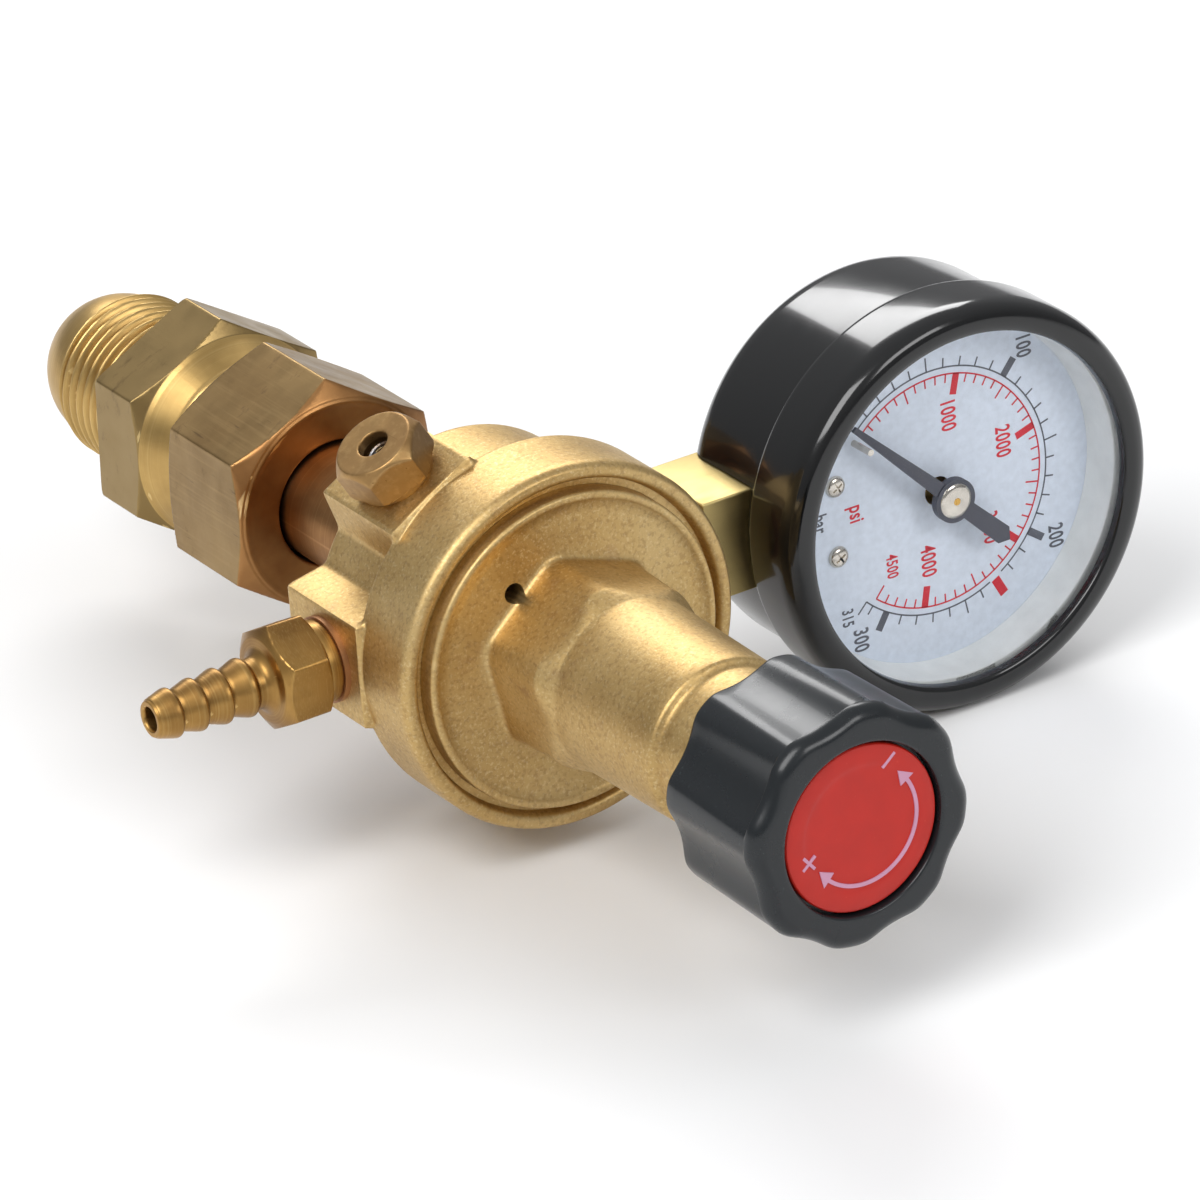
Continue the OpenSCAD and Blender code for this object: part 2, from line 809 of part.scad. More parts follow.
module gauge_case() {
  r = case_d / 2;
  color("dimgray")
  difference() {
    at_gauge() lathe_y([
      [0, case_back], [r - 2, case_back], [r - 0.6, case_back - 0.6], [r, case_back - 2], [r, case_front],
      [r - case_wall, case_front], [r - case_wall, case_back - 1.4], [0, case_back - 1.4]
    ], 128);
    translate([gauge_x - r - 2, port_y - shank_w / 2, gauge_z - shank_w / 2]) cube([8, shank_w, shank_w]);
  }
}

module gauge_bezel() {
  r = bezel_d / 2;
  color("black")
  at_gauge() lathe_y([
    [case_d / 2, bezel_back], [r - 0.4, bezel_back], [r, bezel_back - 0.4], [r, bezel_front + 1.6],
    [r - 0.5, bezel_front + 0.5], [r - 1.6, bezel_front], [window_d / 2 + 0.9, bezel_front],
    [window_d / 2 + 0.1, bezel_front + 0.4], [window_d / 2, lens_front], [case_d / 2, lens_front]
  ], 128);
}

module gauge_window() {
  color("lightblue", 0.3)
  at_gauge() bar_y(case_d - 0.6, lens_front, case_front, 128);
}

// White ring that spaces the window off the dial
module gauge_ring() {
  color("white")
  at_gauge() lathe_y([
    [window_d / 2 + 0.2, case_front], [case_d / 2 - case_wall, case_front],
    [case_d / 2 - case_wall, inner_ring_back], [dial_d / 2 - 0.9, inner_ring_back]
  ], 128);
}

module gauge_dial() {
  color("aliceblue")
  at_gauge() lathe_y([
    [dial_hole_d / 2, dial_face], [dial_d / 2, dial_face], [dial_d / 2, dial_face + dial_t],
    [dial_hole_d / 2, dial_face + dial_t]
  ], 128);
}

// Two screws that hold the dial on the movement
module dial_screws() {
  color("silver")
  for (p = dial_screw_at)
    translate([gauge_x + p[0], 0, gauge_z + p[1]])
      lathe_y([
        [0, dial_face - dial_screw_h], [0.6 * dial_screw_r, dial_face - 0.9 * dial_screw_h],
        [dial_screw_r, dial_face - 0.25 * dial_screw_h], [dial_screw_r, dial_face], [0, dial_face]
      ], 32);
}

// Pin that the pointer rests against at zero
module stop_pin() {
  color("silver")
  at_gauge() rotate([0, -pointer_angle - stop_pin_lead, 0])
    translate([stop_pin_rho, 0, 0]) bar_y(stop_pin_d, pointer_y - pointer_t, dial_face, 32);
}

module pointer() {
  half_tip = 0.4;
  half_root = 1.1;
  half_tail = 1.3;
  outline = [
    [-pointer_tail + half_tail, -half_tail], [0, -half_root], [pointer_len, -half_tip], [pointer_len, half_tip],
    [0, half_root], [-pointer_tail + half_tail, half_tail], [-pointer_tail, 0]
  ];
  color("dimgray")
  at_gauge() rotate([0, -pointer_angle, 0]) difference() {
    union() {
      translate([0, pointer_y - pointer_t, 0]) rotate([-90, 0, 0]) linear_extrude(pointer_t) polygon(outline);
      bar_y(hub_d, pointer_y - pointer_t - 0.2, pointer_y + 0.4, small_fn);
    }
    bar_y(arbor_d, pointer_y - 2, pointer_y + 2, 32);
  }
}

module pointer_cap() {
  color("silver")
  at_gauge() lathe_y([
    [0, cap_face], [cap_d / 2 - 0.3, cap_face], [cap_d / 2, cap_face + 0.3],
    [cap_d / 2, pointer_y - pointer_t - 0.2], [0, pointer_y - pointer_t - 0.2]
  ], small_fn);
}

// ---------------------------------------------------------------- gauge movement

// One straight-sided tooth, drawn on +X of a gear of pitch radius r
module tooth(r) {
  half = PI * module_mm * tooth_share / 2;
  root = r - module_mm * 1.1;
  tip = r + module_mm * 0.8;
  polygon([[root - 0.1, -half * 1.3], [tip, -half * 0.6], [tip, half * 0.6], [root - 0.1, half * 1.3]]);
}

module gear_outline(r, teeth, first, last) {
  for (k = [first : last]) rotate(k * 360 / teeth) tooth(r);
}

module pointer_arbor() {
  root = pinion_r - module_mm * 1.1;
  color("gold")
  at_gauge() union() {
    bar_y(arbor_d, pointer_y - pointer_t - 0.2, plate_gap_back + movement_plate_t + 0.4, 32);
    translate([0, gear_y - 0.3, 0]) rotate([-90, 0, 0]) linear_extrude(gear_t + 0.6) {
      circle(r = root, $fn = 32);
      rotate(-sector_rest) gear_outline(pinion_r, pinion_teeth, 0, pinion_teeth - 1);
    }
  }
}

// Places a child on the sector's shaft, with the pinion towards -X
module at_sector() {
  at_gauge() rotate([0, -sector_rest, 0]) translate([gear_centres, 0, 0]) children();
}

// Toothed sector that drives the pinion, on its own shaft, with a tail for the link
module sector_gear() {
  step = 360 / sector_teeth;
  first = -1;
  last = 8;
  rim = sector_r - module_mm * 1.1;
  color("gold")
  union() {
    at_sector() bar_y(arbor_d, plate_gap_front - 0.3, plate_gap_back + movement_plate_t + 0.3, 32);
    at_sector() translate([0, gear_y, 0]) rotate([-90, 0, 0]) linear_extrude(gear_t) {
      rotate(180 + step / 2) gear_outline(sector_r, sector_teeth, first, last);
      intersection() {
        circle(r = rim, $fn = 96);
        polygon([
          [0, 0],
          for (a = [0 : 4]) let (t = 180 + step * (first + a * (last - first + 1) / 4)) 2 * rim * [cos(t), sin(t)]
        ]);
      }
      circle(r = 1.6, $fn = 32);
      rotate(sector_rest - tail_angle) translate([0, -0.8]) square([tail_len + 0.8, 1.6]);
    }
    at_gauge() tail_pin_place() bar_y(tail_pin_d, link_y - 0.2, gear_y + eps, 32);
  }
}

// Where the link's pin stands, on the end of the sector's tail
module tail_pin_place() {
  translate([
    gear_centres * cos(sector_rest) + tail_len * cos(tail_angle), 0,
    gear_centres * sin(sector_rest) + tail_len * sin(tail_angle)
  ]) children();
}

module movement_plates() {
  color("gold")
  for (y = [plate_gap_front, plate_gap_back])
    at_gauge() rotate([0, -sector_rest, 0]) difference() {
      translate([-3, y, -plate_w / 2]) cube([gear_centres + 6, movement_plate_t, plate_w]);
      bar_y(arbor_hole_d, y - 1, y + 2, 32);
      translate([gear_centres, 0, 0]) bar_y(arbor_hole_d, y - 1, y + 2, 32);
    }
}

module movement_pillars() {
  color("goldenrod")
  at_gauge() rotate([0, -sector_rest, 0])
    for (p = [[-1.6, pillar_z], [-1.6, -pillar_z], [gear_centres + 1.5, pillar_z]])
      translate([p[0], 0, p[1]]) bar_y(1.8, plate_gap_front + movement_plate_t, plate_gap_back, 32);
}

// Flattened tube bent into a C, open towards the shank
module bourdon_tube() {
  color("peru")
  at_gauge() translate([0, tube_y, 0]) rotate([-90, 0, 0]) rotate([0, 0, -tube_start - tube_sweep])
    rotate_extrude(angle = tube_sweep, $fn = 96) translate([tube_r, 0])
      difference() {
        square([tube_t, tube_w], center = true);
        square([tube_t - 0.8, tube_w - 0.8], center = true);
      }
}

// Block that closes the tube, with a lug towards the link
module tube_end() {
  color("goldenrod")
  at_gauge() rotate([0, -tube_tip_angle, 0]) translate([tube_r - tube_t / 2, link_y + link_t + 0.2, 0])
    cube([tube_t, tube_y + tube_w / 2 - link_y - link_t - 0.2, 3]);
}

module gauge_link() {
  color("silver")
  at_gauge() tail_pin_place() rotate([0, -link_angle, 0]) translate([0, link_y, 0]) rotate([-90, 0, 0])
    linear_extrude(link_t) difference() {
      union() {
        circle(d = link_w, $fn = 32);
        translate([0, -link_w / 2]) square([link_len, link_w]);
      }
      circle(d = tail_pin_d + 0.1, $fn = 32);
    }
}

body();
bonnet();
knob();
knob_disc();
adjusting_screw();
screw_retainer();
spring_button();
main_spring();
diaphragm_plate();
diaphragm();
slip_ring();
lower_button();
nozzle();
poppet();
poppet_seal();
poppet_spring();
inlet_stem();
inlet_filter();
stem_seal();
union_nut();
seat_washer();
inlet_adapter();
relief_cap();
relief_spring();
relief_poppet();
relief_seal();
hose_barb();
barb_seal();
gauge_shank();
gauge_seal();
gauge_case();
gauge_bezel();
gauge_window();
gauge_ring();
gauge_dial();
dial_screws();
stop_pin();
pointer();
pointer_cap();
pointer_arbor();
sector_gear();
movement_plates();
movement_pillars();
bourdon_tube();
tube_end();
gauge_link();
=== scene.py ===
"""Looks of a brass gas pressure regulator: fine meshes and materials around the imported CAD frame."""

import json
import math

import bmesh
import bpy
import numpy as np
from mathutils import Matrix, Vector


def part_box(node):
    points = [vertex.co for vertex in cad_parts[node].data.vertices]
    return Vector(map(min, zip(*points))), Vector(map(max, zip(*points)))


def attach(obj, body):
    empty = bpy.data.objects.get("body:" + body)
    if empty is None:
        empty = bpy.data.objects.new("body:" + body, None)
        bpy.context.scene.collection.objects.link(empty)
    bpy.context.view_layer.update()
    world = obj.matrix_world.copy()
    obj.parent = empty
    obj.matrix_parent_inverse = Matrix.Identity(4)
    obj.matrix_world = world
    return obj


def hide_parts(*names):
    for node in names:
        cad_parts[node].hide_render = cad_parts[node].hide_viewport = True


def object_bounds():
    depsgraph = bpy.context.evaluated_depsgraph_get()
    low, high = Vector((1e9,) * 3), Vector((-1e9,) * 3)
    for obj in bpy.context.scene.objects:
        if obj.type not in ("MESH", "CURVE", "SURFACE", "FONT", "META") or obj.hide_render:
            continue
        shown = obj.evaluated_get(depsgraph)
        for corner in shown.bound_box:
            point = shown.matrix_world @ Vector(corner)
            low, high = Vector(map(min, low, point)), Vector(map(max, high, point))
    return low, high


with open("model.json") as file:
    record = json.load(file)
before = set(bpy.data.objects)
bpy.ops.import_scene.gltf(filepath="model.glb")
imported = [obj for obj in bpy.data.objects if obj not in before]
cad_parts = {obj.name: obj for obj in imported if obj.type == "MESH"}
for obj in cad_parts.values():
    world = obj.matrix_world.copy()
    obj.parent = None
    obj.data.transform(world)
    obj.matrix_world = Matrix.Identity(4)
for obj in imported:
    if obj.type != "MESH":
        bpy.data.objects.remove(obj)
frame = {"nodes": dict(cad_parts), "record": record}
CAD_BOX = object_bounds()

MM = 0.001
RECORD = frame["record"]
BODY_OF = {node: body for body, nodes in RECORD["behaviour"]["bodies"].items() for node in nodes}
SLOT_OF = {part["node"]: part["material_slot"] for part in RECORD["subparts"]}


def middle(node):
    """Centre of a node's box, in millimetres."""
    low, high = (np.array(corner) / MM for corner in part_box(node))
    return (low + high) / 2


def edge(node, axis, side):
    """One side of a node's box along an axis, in millimetres: side 0 is the low one."""
    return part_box(node)[side][axis] / MM


# ------------------------------------------------------------------ stations, from the frame

ADAPTER_BACK = -10.5
NUT_FRONT = edge("union_nut", 1, 1)
NUT_BACK = edge("union_nut", 1, 0)
BODY_REAR = edge("body", 1, 1)
BODY_FRONT = edge("body", 1, 0)
WALL_BACK = BODY_FRONT + 11.4
PORT_Y = middle("gauge_seal")[1]
FLANGE_FACE = BODY_FRONT - 1
SPIGOT_END = edge("bonnet", 1, 0)
KNOB_FRONT = edge("knob", 1, 0)
KNOB_BACK = edge("knob", 1, 1)
GAUGE = middle("gauge_bezel")
BEZEL_FRONT = edge("gauge_bezel", 1, 0)
BEZEL_BACK = edge("gauge_bezel", 1, 1)
CASE_BACK = edge("gauge_case", 1, 1)
DIAL_FACE = edge("gauge_dial", 1, 0)
BARB_TIP = -edge("hose_barb", 0, 0)
PORT_FACE = 24.8
RELIEF_TURN = 120
PORT_TURNS = (0, RELIEF_TURN, 180)
HEX_TURN = 27.3
ADAPTER_FLATS = 28.6
NUT_FLATS = 29.4
CASE_RADIUS = 26.6

# ------------------------------------------------------------------ mesh building


class Place:
    """An axis in space: where it starts, which way it runs, and which ways angles 0 and 90 look."""

    def __init__(self, start, along, zero, quarter):
        self.start, self.along, self.zero, self.quarter = (
            np.array(v, float) for v in (start, along, zero, quarter)
        )

    def ring(self, angles, radius, station):
        turn = np.radians(angles)
        radius = np.broadcast_to(np.asarray(radius, float), turn.shape)
        across = np.outer(radius * np.cos(turn), self.zero) + np.outer(radius * np.sin(turn), self.quarter)
        return self.start + self.along * station + across


MAIN = Place((0, 0, 0), (0, 1, 0), (1, 0, 0), (0, 0, 1))
GAUGE_AXIS = Place((GAUGE[0], 0, GAUGE[2]), (0, 1, 0), (1, 0, 0), (0, 0, 1))
BARB_AXIS = Place((0, PORT_Y, 0), (-1, 0, 0), (0, 1, 0), (0, 0, 1))
SHANK_AXIS = Place((0, PORT_Y, 0), (1, 0, 0), (0, 1, 0), (0, 0, 1))
RELIEF_LEAN = math.radians(RELIEF_TURN)
RELIEF_AXIS = Place(
    (0, PORT_Y, 0), (math.cos(RELIEF_LEAN), 0, math.sin(RELIEF_LEAN)),
    (-math.sin(RELIEF_LEAN), 0, math.cos(RELIEF_LEAN)), (0, 1, 0)
)


def even_angles(count):
    return np.arange(count) * 360 / count


def hex_angles(turn):
    """Angles that crowd towards the six corners, so that a hexagon keeps its edges."""
    near = np.array([0, 0.3, 0.7, 1.2, 2, 3.2, 5, 7.5, 11, 15, 19.5, 24.5])
    half = np.concatenate([-near[::-1][:-1], near])
    return np.sort(np.concatenate([turn + 60 * k + np.append(half, 30) for k in range(6)]))


def softer(a, b, blend):
    """The smaller of two values, blended where they are close."""
    return np.minimum(a, b) - blend * np.log1p(np.exp(-np.abs(a - b) / blend))


def bolder(a, b, blend):
    """The larger of two values, blended where they are close."""
    return np.maximum(a, b) + blend * np.log1p(np.exp(-np.abs(a - b) / blend))


def smooth(low, high, x):
    t = np.clip((x - low) / (high - low), 0, 1)
    return t * t * (3 - 2 * t)


def hexagon(angles, turn, across_flats, blend=0.07):
    """Radius of a hexagon at each angle, with its corners softened."""
    off = np.abs((angles - turn) % 60 - 30)
    here = across_flats / 2 / np.cos(np.radians(off))
    next_flat = across_flats / 2 / np.cos(np.radians(60 - off))
    return softer(here, next_flat, blend)


def rounded(path, radius=0.2, steps=3):
    """Rounds the corners of a closed outline. A point may carry its own radius as a third value."""
    points = np.array([p[:2] for p in path], float)
    result = []
    for i, here in enumerate(points):
        back, ahead = points[i - 1] - here, points[(i + 1) % len(points)] - here
        size = path[i][2] if len(path[i]) > 2 else radius
        cut = [min(size, 0.45 * np.linalg.norm(v)) for v in (back, ahead)]
        if here[0] < 1e-6 or size == 0:
            result.append(here)
            continue
        first = here + back / np.linalg.norm(back) * cut[0]
        last = here + ahead / np.linalg.norm(ahead) * cut[1]
        for t in np.linspace(0, 1, steps + 1):
            result.append((1 - t) ** 2 * first + 2 * t * (1 - t) * here + t * t * last)
    return [tuple(p) for p in result]


def fine(path, step):
    """Splits the long stretches of a closed outline."""
    result = []
    for i, here in enumerate(path):
        ahead = path[(i + 1) % len(path)]
        parts = max(1, math.ceil(math.dist(here, ahead) / step))
        result += [tuple(np.array(here) + (np.array(ahead) - here) * k / parts) for k in range(parts)]
    return result


def skin(place, angles, rows, closed=True):
    """Joins rings into a surface. A row is (radius, station); a radius of 0 is one point on the axis."""
    vertices, faces, starts = [], [], []
    count = len(angles)
    for radius, station in rows:
        starts.append(len(vertices))
        if np.isscalar(radius) and radius < 1e-6:
            vertices.append(place.start + place.along * station)
        else:
            vertices.extend(place.ring(angles, radius, station))
    ends = starts[1:] + [len(vertices)]
    pairs = list(zip(range(len(rows)), range(1, len(rows))))
    if closed:
        pairs.append((len(rows) - 1, 0))
    for a, b in pairs:
        one_a, one_b = ends[a] - starts[a] == 1, ends[b] - starts[b] == 1
        if one_a and one_b:
            continue
        for i in range(count):
            j = (i + 1) % count
            if one_a:
                faces.append((starts[a], starts[b] + j, starts[b] + i))
            elif one_b:
                faces.append((starts[a] + i, starts[a] + j, starts[b]))
            else:
                faces.append((starts[a] + i, starts[a] + j, starts[b] + j, starts[b] + i))
    return np.array(vertices), faces


def turned(place, path, angles=None, shape=None, radius=0.2, step=None):
    """A lathe-turned solid; shape(radius, station, angles) reshapes each ring."""
    angles = even_angles(120) if angles is None else angles
    rows = rounded(path, radius)
    if step:
        rows = fine(rows, step)
    if shape:
        rows = [(shape(r, s, angles) if r > 1e-6 else r, s) for r, s in rows]
    return skin(place, angles, rows)


def block(low, high, bevel):
    """A rectangular bar with small round edges."""
    mesh = bmesh.new()
    bmesh.ops.create_cube(mesh, size=1)
    low, high = np.array(low, float), np.array(high, float)
    for v in mesh.verts:
        v.co = (low + high) / 2 + np.array(v.co) * (high - low)
    bmesh.ops.bevel(mesh, geom=list(mesh.edges), offset=bevel, segments=3, profile=0.6, affect="EDGES")
    mesh.verts.index_update()
    vertices = np.array([v.co[:] for v in mesh.verts])
    faces = [tuple(v.index for v in f.verts) for f in mesh.faces]
    mesh.free()
    return vertices, faces


def plate(outline, low, high, place_point):
    """A flat solid: outline points swept from low to high; place_point(x, z, y) places them."""
    count = len(outline)
    vertices = [place_point(x, z, y) for y in (low, high) for x, z in outline]
    faces = [tuple(range(count)), tuple(range(2 * count - 1, count - 1, -1))]
    faces += [(i, i + count, (i + 1) % count + count, (i + 1) % count) for i in range(count)]
    return np.array(vertices), faces


def added(name, data):
    """A new object in the scene."""
    result = bpy.data.objects.new(name, data)
    bpy.context.scene.collection.objects.link(result)
    return result


def spun(points, degrees, at=(0, 0)):
    """Flat points turned about the origin and then moved."""
    c, s = math.cos(math.radians(degrees)), math.sin(math.radians(degrees))
    return [(at[0] + u * c - v * s, at[1] + u * s + v * c) for u, v in points]


def solid(name, vertices, faces, weld=False):
    """A mesh with its faces turned outwards."""
    mesh = bpy.data.meshes.new(name)
    mesh.from_pydata([tuple(v) for v in vertices], [], faces)
    shape = bmesh.new()
    shape.from_mesh(mesh)
    if weld:
        bmesh.ops.remove_doubles(shape, verts=shape.verts, dist=1e-7)
    bmesh.ops.recalc_face_normals(shape, faces=shape.faces)
    shape.to_mesh(mesh)
    shape.free()
    return mesh


def piece(name, node, shells, sharp=32, replaces=True, material=None):
    """Makes one object of several closed shells and puts it on its node's body."""
    vertices, faces = [], []
    for points, shell_faces in shells:
        start = len(vertices)
        vertices.extend(np.asarray(points) * MM)
        faces.extend(tuple(i + start for i in face) for face in shell_faces)
    mesh = solid(name, vertices, faces, weld=True)
    result = added(name, mesh)
    shade(result, sharp)
    mesh.materials.append(material or MATERIALS[SLOT_OF[node]])
    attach(result, BODY_OF[node])
    if replaces:
        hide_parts(node)
    return result


def shade(result, sharp):
    mesh = result.data
    mesh.polygons.foreach_set("use_smooth", [True] * len(mesh.polygons))
    mesh.set_sharp_from_angle(angle=math.radians(sharp))


def cut(target, shells, sharp=32):
    """Cuts closed shells out of a piece."""
    for vertices, faces in shells:
        cutter = added("cutter", solid("cutter", np.asarray(vertices) * MM, faces))
        knife = target.modifiers.new("cut", "BOOLEAN")
        knife.operation = "DIFFERENCE"
        knife.solver = "EXACT"
        knife.object = cutter
        bpy.context.view_layer.update()
        done = bpy.data.meshes.new_from_object(target.evaluated_get(bpy.context.evaluated_depsgraph_get()))
        target.modifiers.clear()
        target.data = done
        bpy.data.objects.remove(cutter)
    shade(target, sharp)


# ------------------------------------------------------------------ materials


def colour(red, green, blue):
    """A linear colour from 0-255 display values."""
    def linear(value):
        value /= 255
        return value / 12.92 if value <= 0.04045 else ((value + 0.055) / 1.055) ** 2.4
    return (linear(red), linear(green), linear(blue), 1)


class Finish:
    """A procedural material that is built up in layers on one Principled shader."""

    def __init__(self, name, metallic=1.0, coat=0.0):
        self.material = bpy.data.materials.new(name)
        self.material.use_nodes = True
        self.nodes, self.links = self.material.node_tree.nodes, self.material.node_tree.links
        self.shader = self.nodes["Principled BSDF"]
        self.shader.inputs["Metallic"].default_value = metallic
        self.shader.inputs["Coat Weight"].default_value = coat
        self.shader.inputs["Coat Roughness"].default_value = 0.06
        self.where = self.nodes.new("ShaderNodeTexCoord").outputs["Object"]
        self.tint = None
        self.normal = None

    def make(self, kind, **values):
        node = self.nodes.new("ShaderNode" + kind)
        for key, value in values.items():
            setattr(node, key, value)
        return node

    def noise(self, scale, detail=3, stretch=(1, 1, 1), turn=(0, 0, 0), where=None, rough=0.55):
        mapping = self.make("Mapping")
        mapping.inputs["Scale"].default_value = stretch
        mapping.inputs["Rotation"].default_value = [math.radians(a) for a in turn]
        self.links.new(where or self.where, mapping.inputs["Vector"])
        node = self.make("TexNoise")
        node.inputs["Scale"].default_value = scale
        node.inputs["Detail"].default_value = detail
        node.inputs["Roughness"].default_value = rough
        self.links.new(mapping.outputs[0], node.inputs["Vector"])
        return node.outputs["Fac"]

    def ramp(self, source, *stops):
        """A colour or grey ramp with stops of (place, value)."""
        node = self.make("ValToRGB")
        points = node.color_ramp.elements
        while len(points) < len(stops):
            points.new(0.5)
        for point, (place, value) in zip(points, stops):
            point.position = place
            point.color = value if isinstance(value, tuple) else (value, value, value, 1)
        self.links.new(source, node.inputs["Fac"])
        return node.outputs["Color"]

    def layer(self, mask, value):
        """Paints a colour over what is there, where the mask is light."""
        node = self.make("Mix", data_type="RGBA")
        self.links.new(mask, node.inputs["Factor"])
        self.links.new(self.tint, node.inputs[6])
        node.inputs[7].default_value = value
        self.tint = node.outputs[2]

    def roughness(self, source, low, high):
        self.links.new(self.ramp(source, (0.3, low), (0.7, high)), self.shader.inputs["Roughness"])

    def bump(self, source, height_mm, strength=1.0):
        node = self.make("Bump")
        node.inputs["Strength"].default_value = strength
        node.inputs["Distance"].default_value = height_mm * MM
        self.links.new(source, node.inputs["Height"])
        if self.normal:
            self.links.new(self.normal, node.inputs["Normal"])
        self.normal = node.outputs["Normal"]

    def pointed(self, *stops):
        """A mask from how convex the mesh is: light on edges, dark in corners."""
        return self.ramp(self.make("NewGeometry").outputs["Pointiness"], *stops)

    def lathe_lines(self, centre, along, scale):
        """Fine rings round an axis, for turned metal: they vary with radius and station only."""
        where = self.make("VectorMath", operation="SUBTRACT")
        self.links.new(self.where, where.inputs[0])
        where.inputs[1].default_value = tuple(c * MM for c in centre)
        dot = self.make("VectorMath", operation="DOT_PRODUCT")
        self.links.new(where.outputs[0], dot.inputs[0])
        dot.inputs[1].default_value = along
        cross = self.make("VectorMath", operation="CROSS_PRODUCT")
        self.links.new(where.outputs[0], cross.inputs[0])
        cross.inputs[1].default_value = along
        length = self.make("VectorMath", operation="LENGTH")
        self.links.new(cross.outputs[0], length.inputs[0])
        both = self.make("CombineXYZ")
        self.links.new(dot.outputs["Value"], both.inputs[0])
        self.links.new(length.outputs["Value"], both.inputs[1])
        return self.noise(scale, 2, where=both.outputs[0])

    def done(self):
        if self.tint:
            self.links.new(self.tint, self.shader.inputs["Base Color"])
        if self.normal:
            self.links.new(self.normal, self.shader.inputs["Normal"])
        return self.material


def blasted_brass(name):
    """Shot-blasted brass casting: fine grain, dark pits, bright peaks and painted shade in concave corners.
    """
    finish = Finish(name)
    tone = finish.noise(60, 4)
    finish.tint = finish.ramp(tone, (0.3, colour(184, 152, 98)), (0.5, colour(198, 167, 111)),
                              (0.72, colour(210, 183, 130)))
    finish.layer(finish.ramp(finish.noise(2600, 2), (0.54, 0.0), (0.70, 0.5)), colour(226, 206, 160))
    finish.layer(finish.ramp(finish.noise(1700, 3), (0.34, 0.3), (0.5, 0.0)), colour(128, 94, 56))
    finish.layer(finish.ramp(finish.noise(230, 5), (0.62, 0.0), (0.8, 0.4)), colour(152, 116, 90))
    # painted shade: concave corners darkened to brown
    finish.layer(finish.pointed((0.40, 0.5), (0.49, 0.0)), colour(112, 80, 44))
    finish.layer(finish.pointed((0.53, 0.0), (0.62, 0.6)), colour(222, 194, 138))
    finish.roughness(tone, 0.42, 0.52)
    finish.bump(finish.noise(1700, 4), 0.05, 0.75)
    finish.bump(finish.noise(240, 3), 0.07, 0.4)
    return finish.done()


def turned_brass(name, light, deep, worn, centre=(0, 0, 0), along=(0, 1, 0), rough=(0.2, 0.34),
                 lines=0.006, stains=0.35):
    """Lathe-turned brass: fine rings, tarnish in patches and painted shade that darkens the corners."""
    finish = Finish(name)
    rings = finish.lathe_lines(centre, along, 5200)
    tone = finish.noise(90, 5)
    finish.tint = finish.ramp(tone, (0.3, deep), (0.62, light))
    finish.layer(finish.ramp(rings, (0.5, 0.0), (0.8, 0.3)), worn)
    finish.layer(finish.ramp(finish.noise(420, 5), (0.60, 0.0), (0.78, stains)), deep)
    # painted shade: concave corners darkened to a deep tone
    finish.layer(finish.pointed((0.42, 0.6), (0.49, 0.0)), tuple(c * 0.45 for c in deep[:3]) + (1,))
    finish.layer(finish.pointed((0.53, 0.0), (0.60, 0.7)), worn)
    finish.roughness(finish.noise(160, 4), *rough)
    finish.bump(rings, lines, 0.8)
    finish.bump(finish.noise(900, 3), 0.006, 0.4)
    return finish.done()


def bar_brass(name, light, deep, worn, stain_and_shade, grain=(60, 2.2, 60), rough=(0.34, 0.5),
              scratch_turn=(0, 35, 20)):
    """Drawn bar brass: fine lines along the bar, scratches, dark rubbed marks, tarnish and painted shade in
    concave corners.
    """
    finish = Finish(name)
    drawn = finish.noise(32, 3, stretch=grain)
    tone = finish.noise(70, 5)
    finish.tint = finish.ramp(tone, (0.32, deep), (0.64, light))
    finish.layer(finish.ramp(drawn, (0.5, 0.0), (0.8, 0.28)), worn)
    scratches = finish.noise(85, 2, stretch=(26, 1.2, 26), turn=scratch_turn)
    finish.layer(finish.ramp(scratches, (0.68, 0.0), (0.74, 0.55)), stain_and_shade)
    marks = finish.noise(170, 6, stretch=(1, 2.2, 1.4), rough=0.7)
    finish.layer(finish.ramp(marks, (0.64, 0.0), (0.76, 0.6)), stain_and_shade)
    # painted shade: concave corners darkened with the stain colour
    finish.layer(finish.pointed((0.42, 0.5), (0.49, 0.0)), stain_and_shade)
    finish.layer(finish.pointed((0.53, 0.0), (0.60, 0.75)), worn)
    finish.roughness(marks, *rough)
    finish.bump(drawn, 0.008, 0.8)
    finish.bump(scratches, 0.01, 0.5)
    finish.bump(finish.noise(1400, 2), 0.008, 0.4)
    return finish.done()


def moulded(name, base, speck, rough, height=0.01, coat=0.0, metallic=0.0, scale=260, specular=0.5):
    """Paint or moulded plastic: slight ripple, dust specks and uneven gloss."""
    finish = Finish(name, metallic, coat)
    finish.shader.inputs["Specular IOR Level"].default_value = specular
    ripple = finish.noise(scale, 4)
    finish.tint = finish.ramp(ripple, (0.3, base), (0.7, tuple(min(1, c * 1.12) for c in base[:3]) + (1,)))
    finish.layer(finish.ramp(finish.noise(1900, 2), (0.70, 0.0), (0.80, 0.35)), speck)
    finish.roughness(finish.noise(120, 5), *rough)
    finish.bump(ripple, height, 0.5)
    finish.bump(finish.noise(2200, 2), height * 0.25, 0.4)
    return finish.done()


def steel(name, base, rough):
    """Plain steel or nickel with uneven gloss."""
    finish = Finish(name)
    tone = finish.noise(300, 4)
    finish.tint = finish.ramp(tone, (0.3, tuple(c * 0.7 for c in base[:3]) + (1,)), (0.65, base))
    finish.roughness(tone, *rough)
    finish.bump(finish.noise(1800, 3), 0.006, 0.5)
    return finish.done()


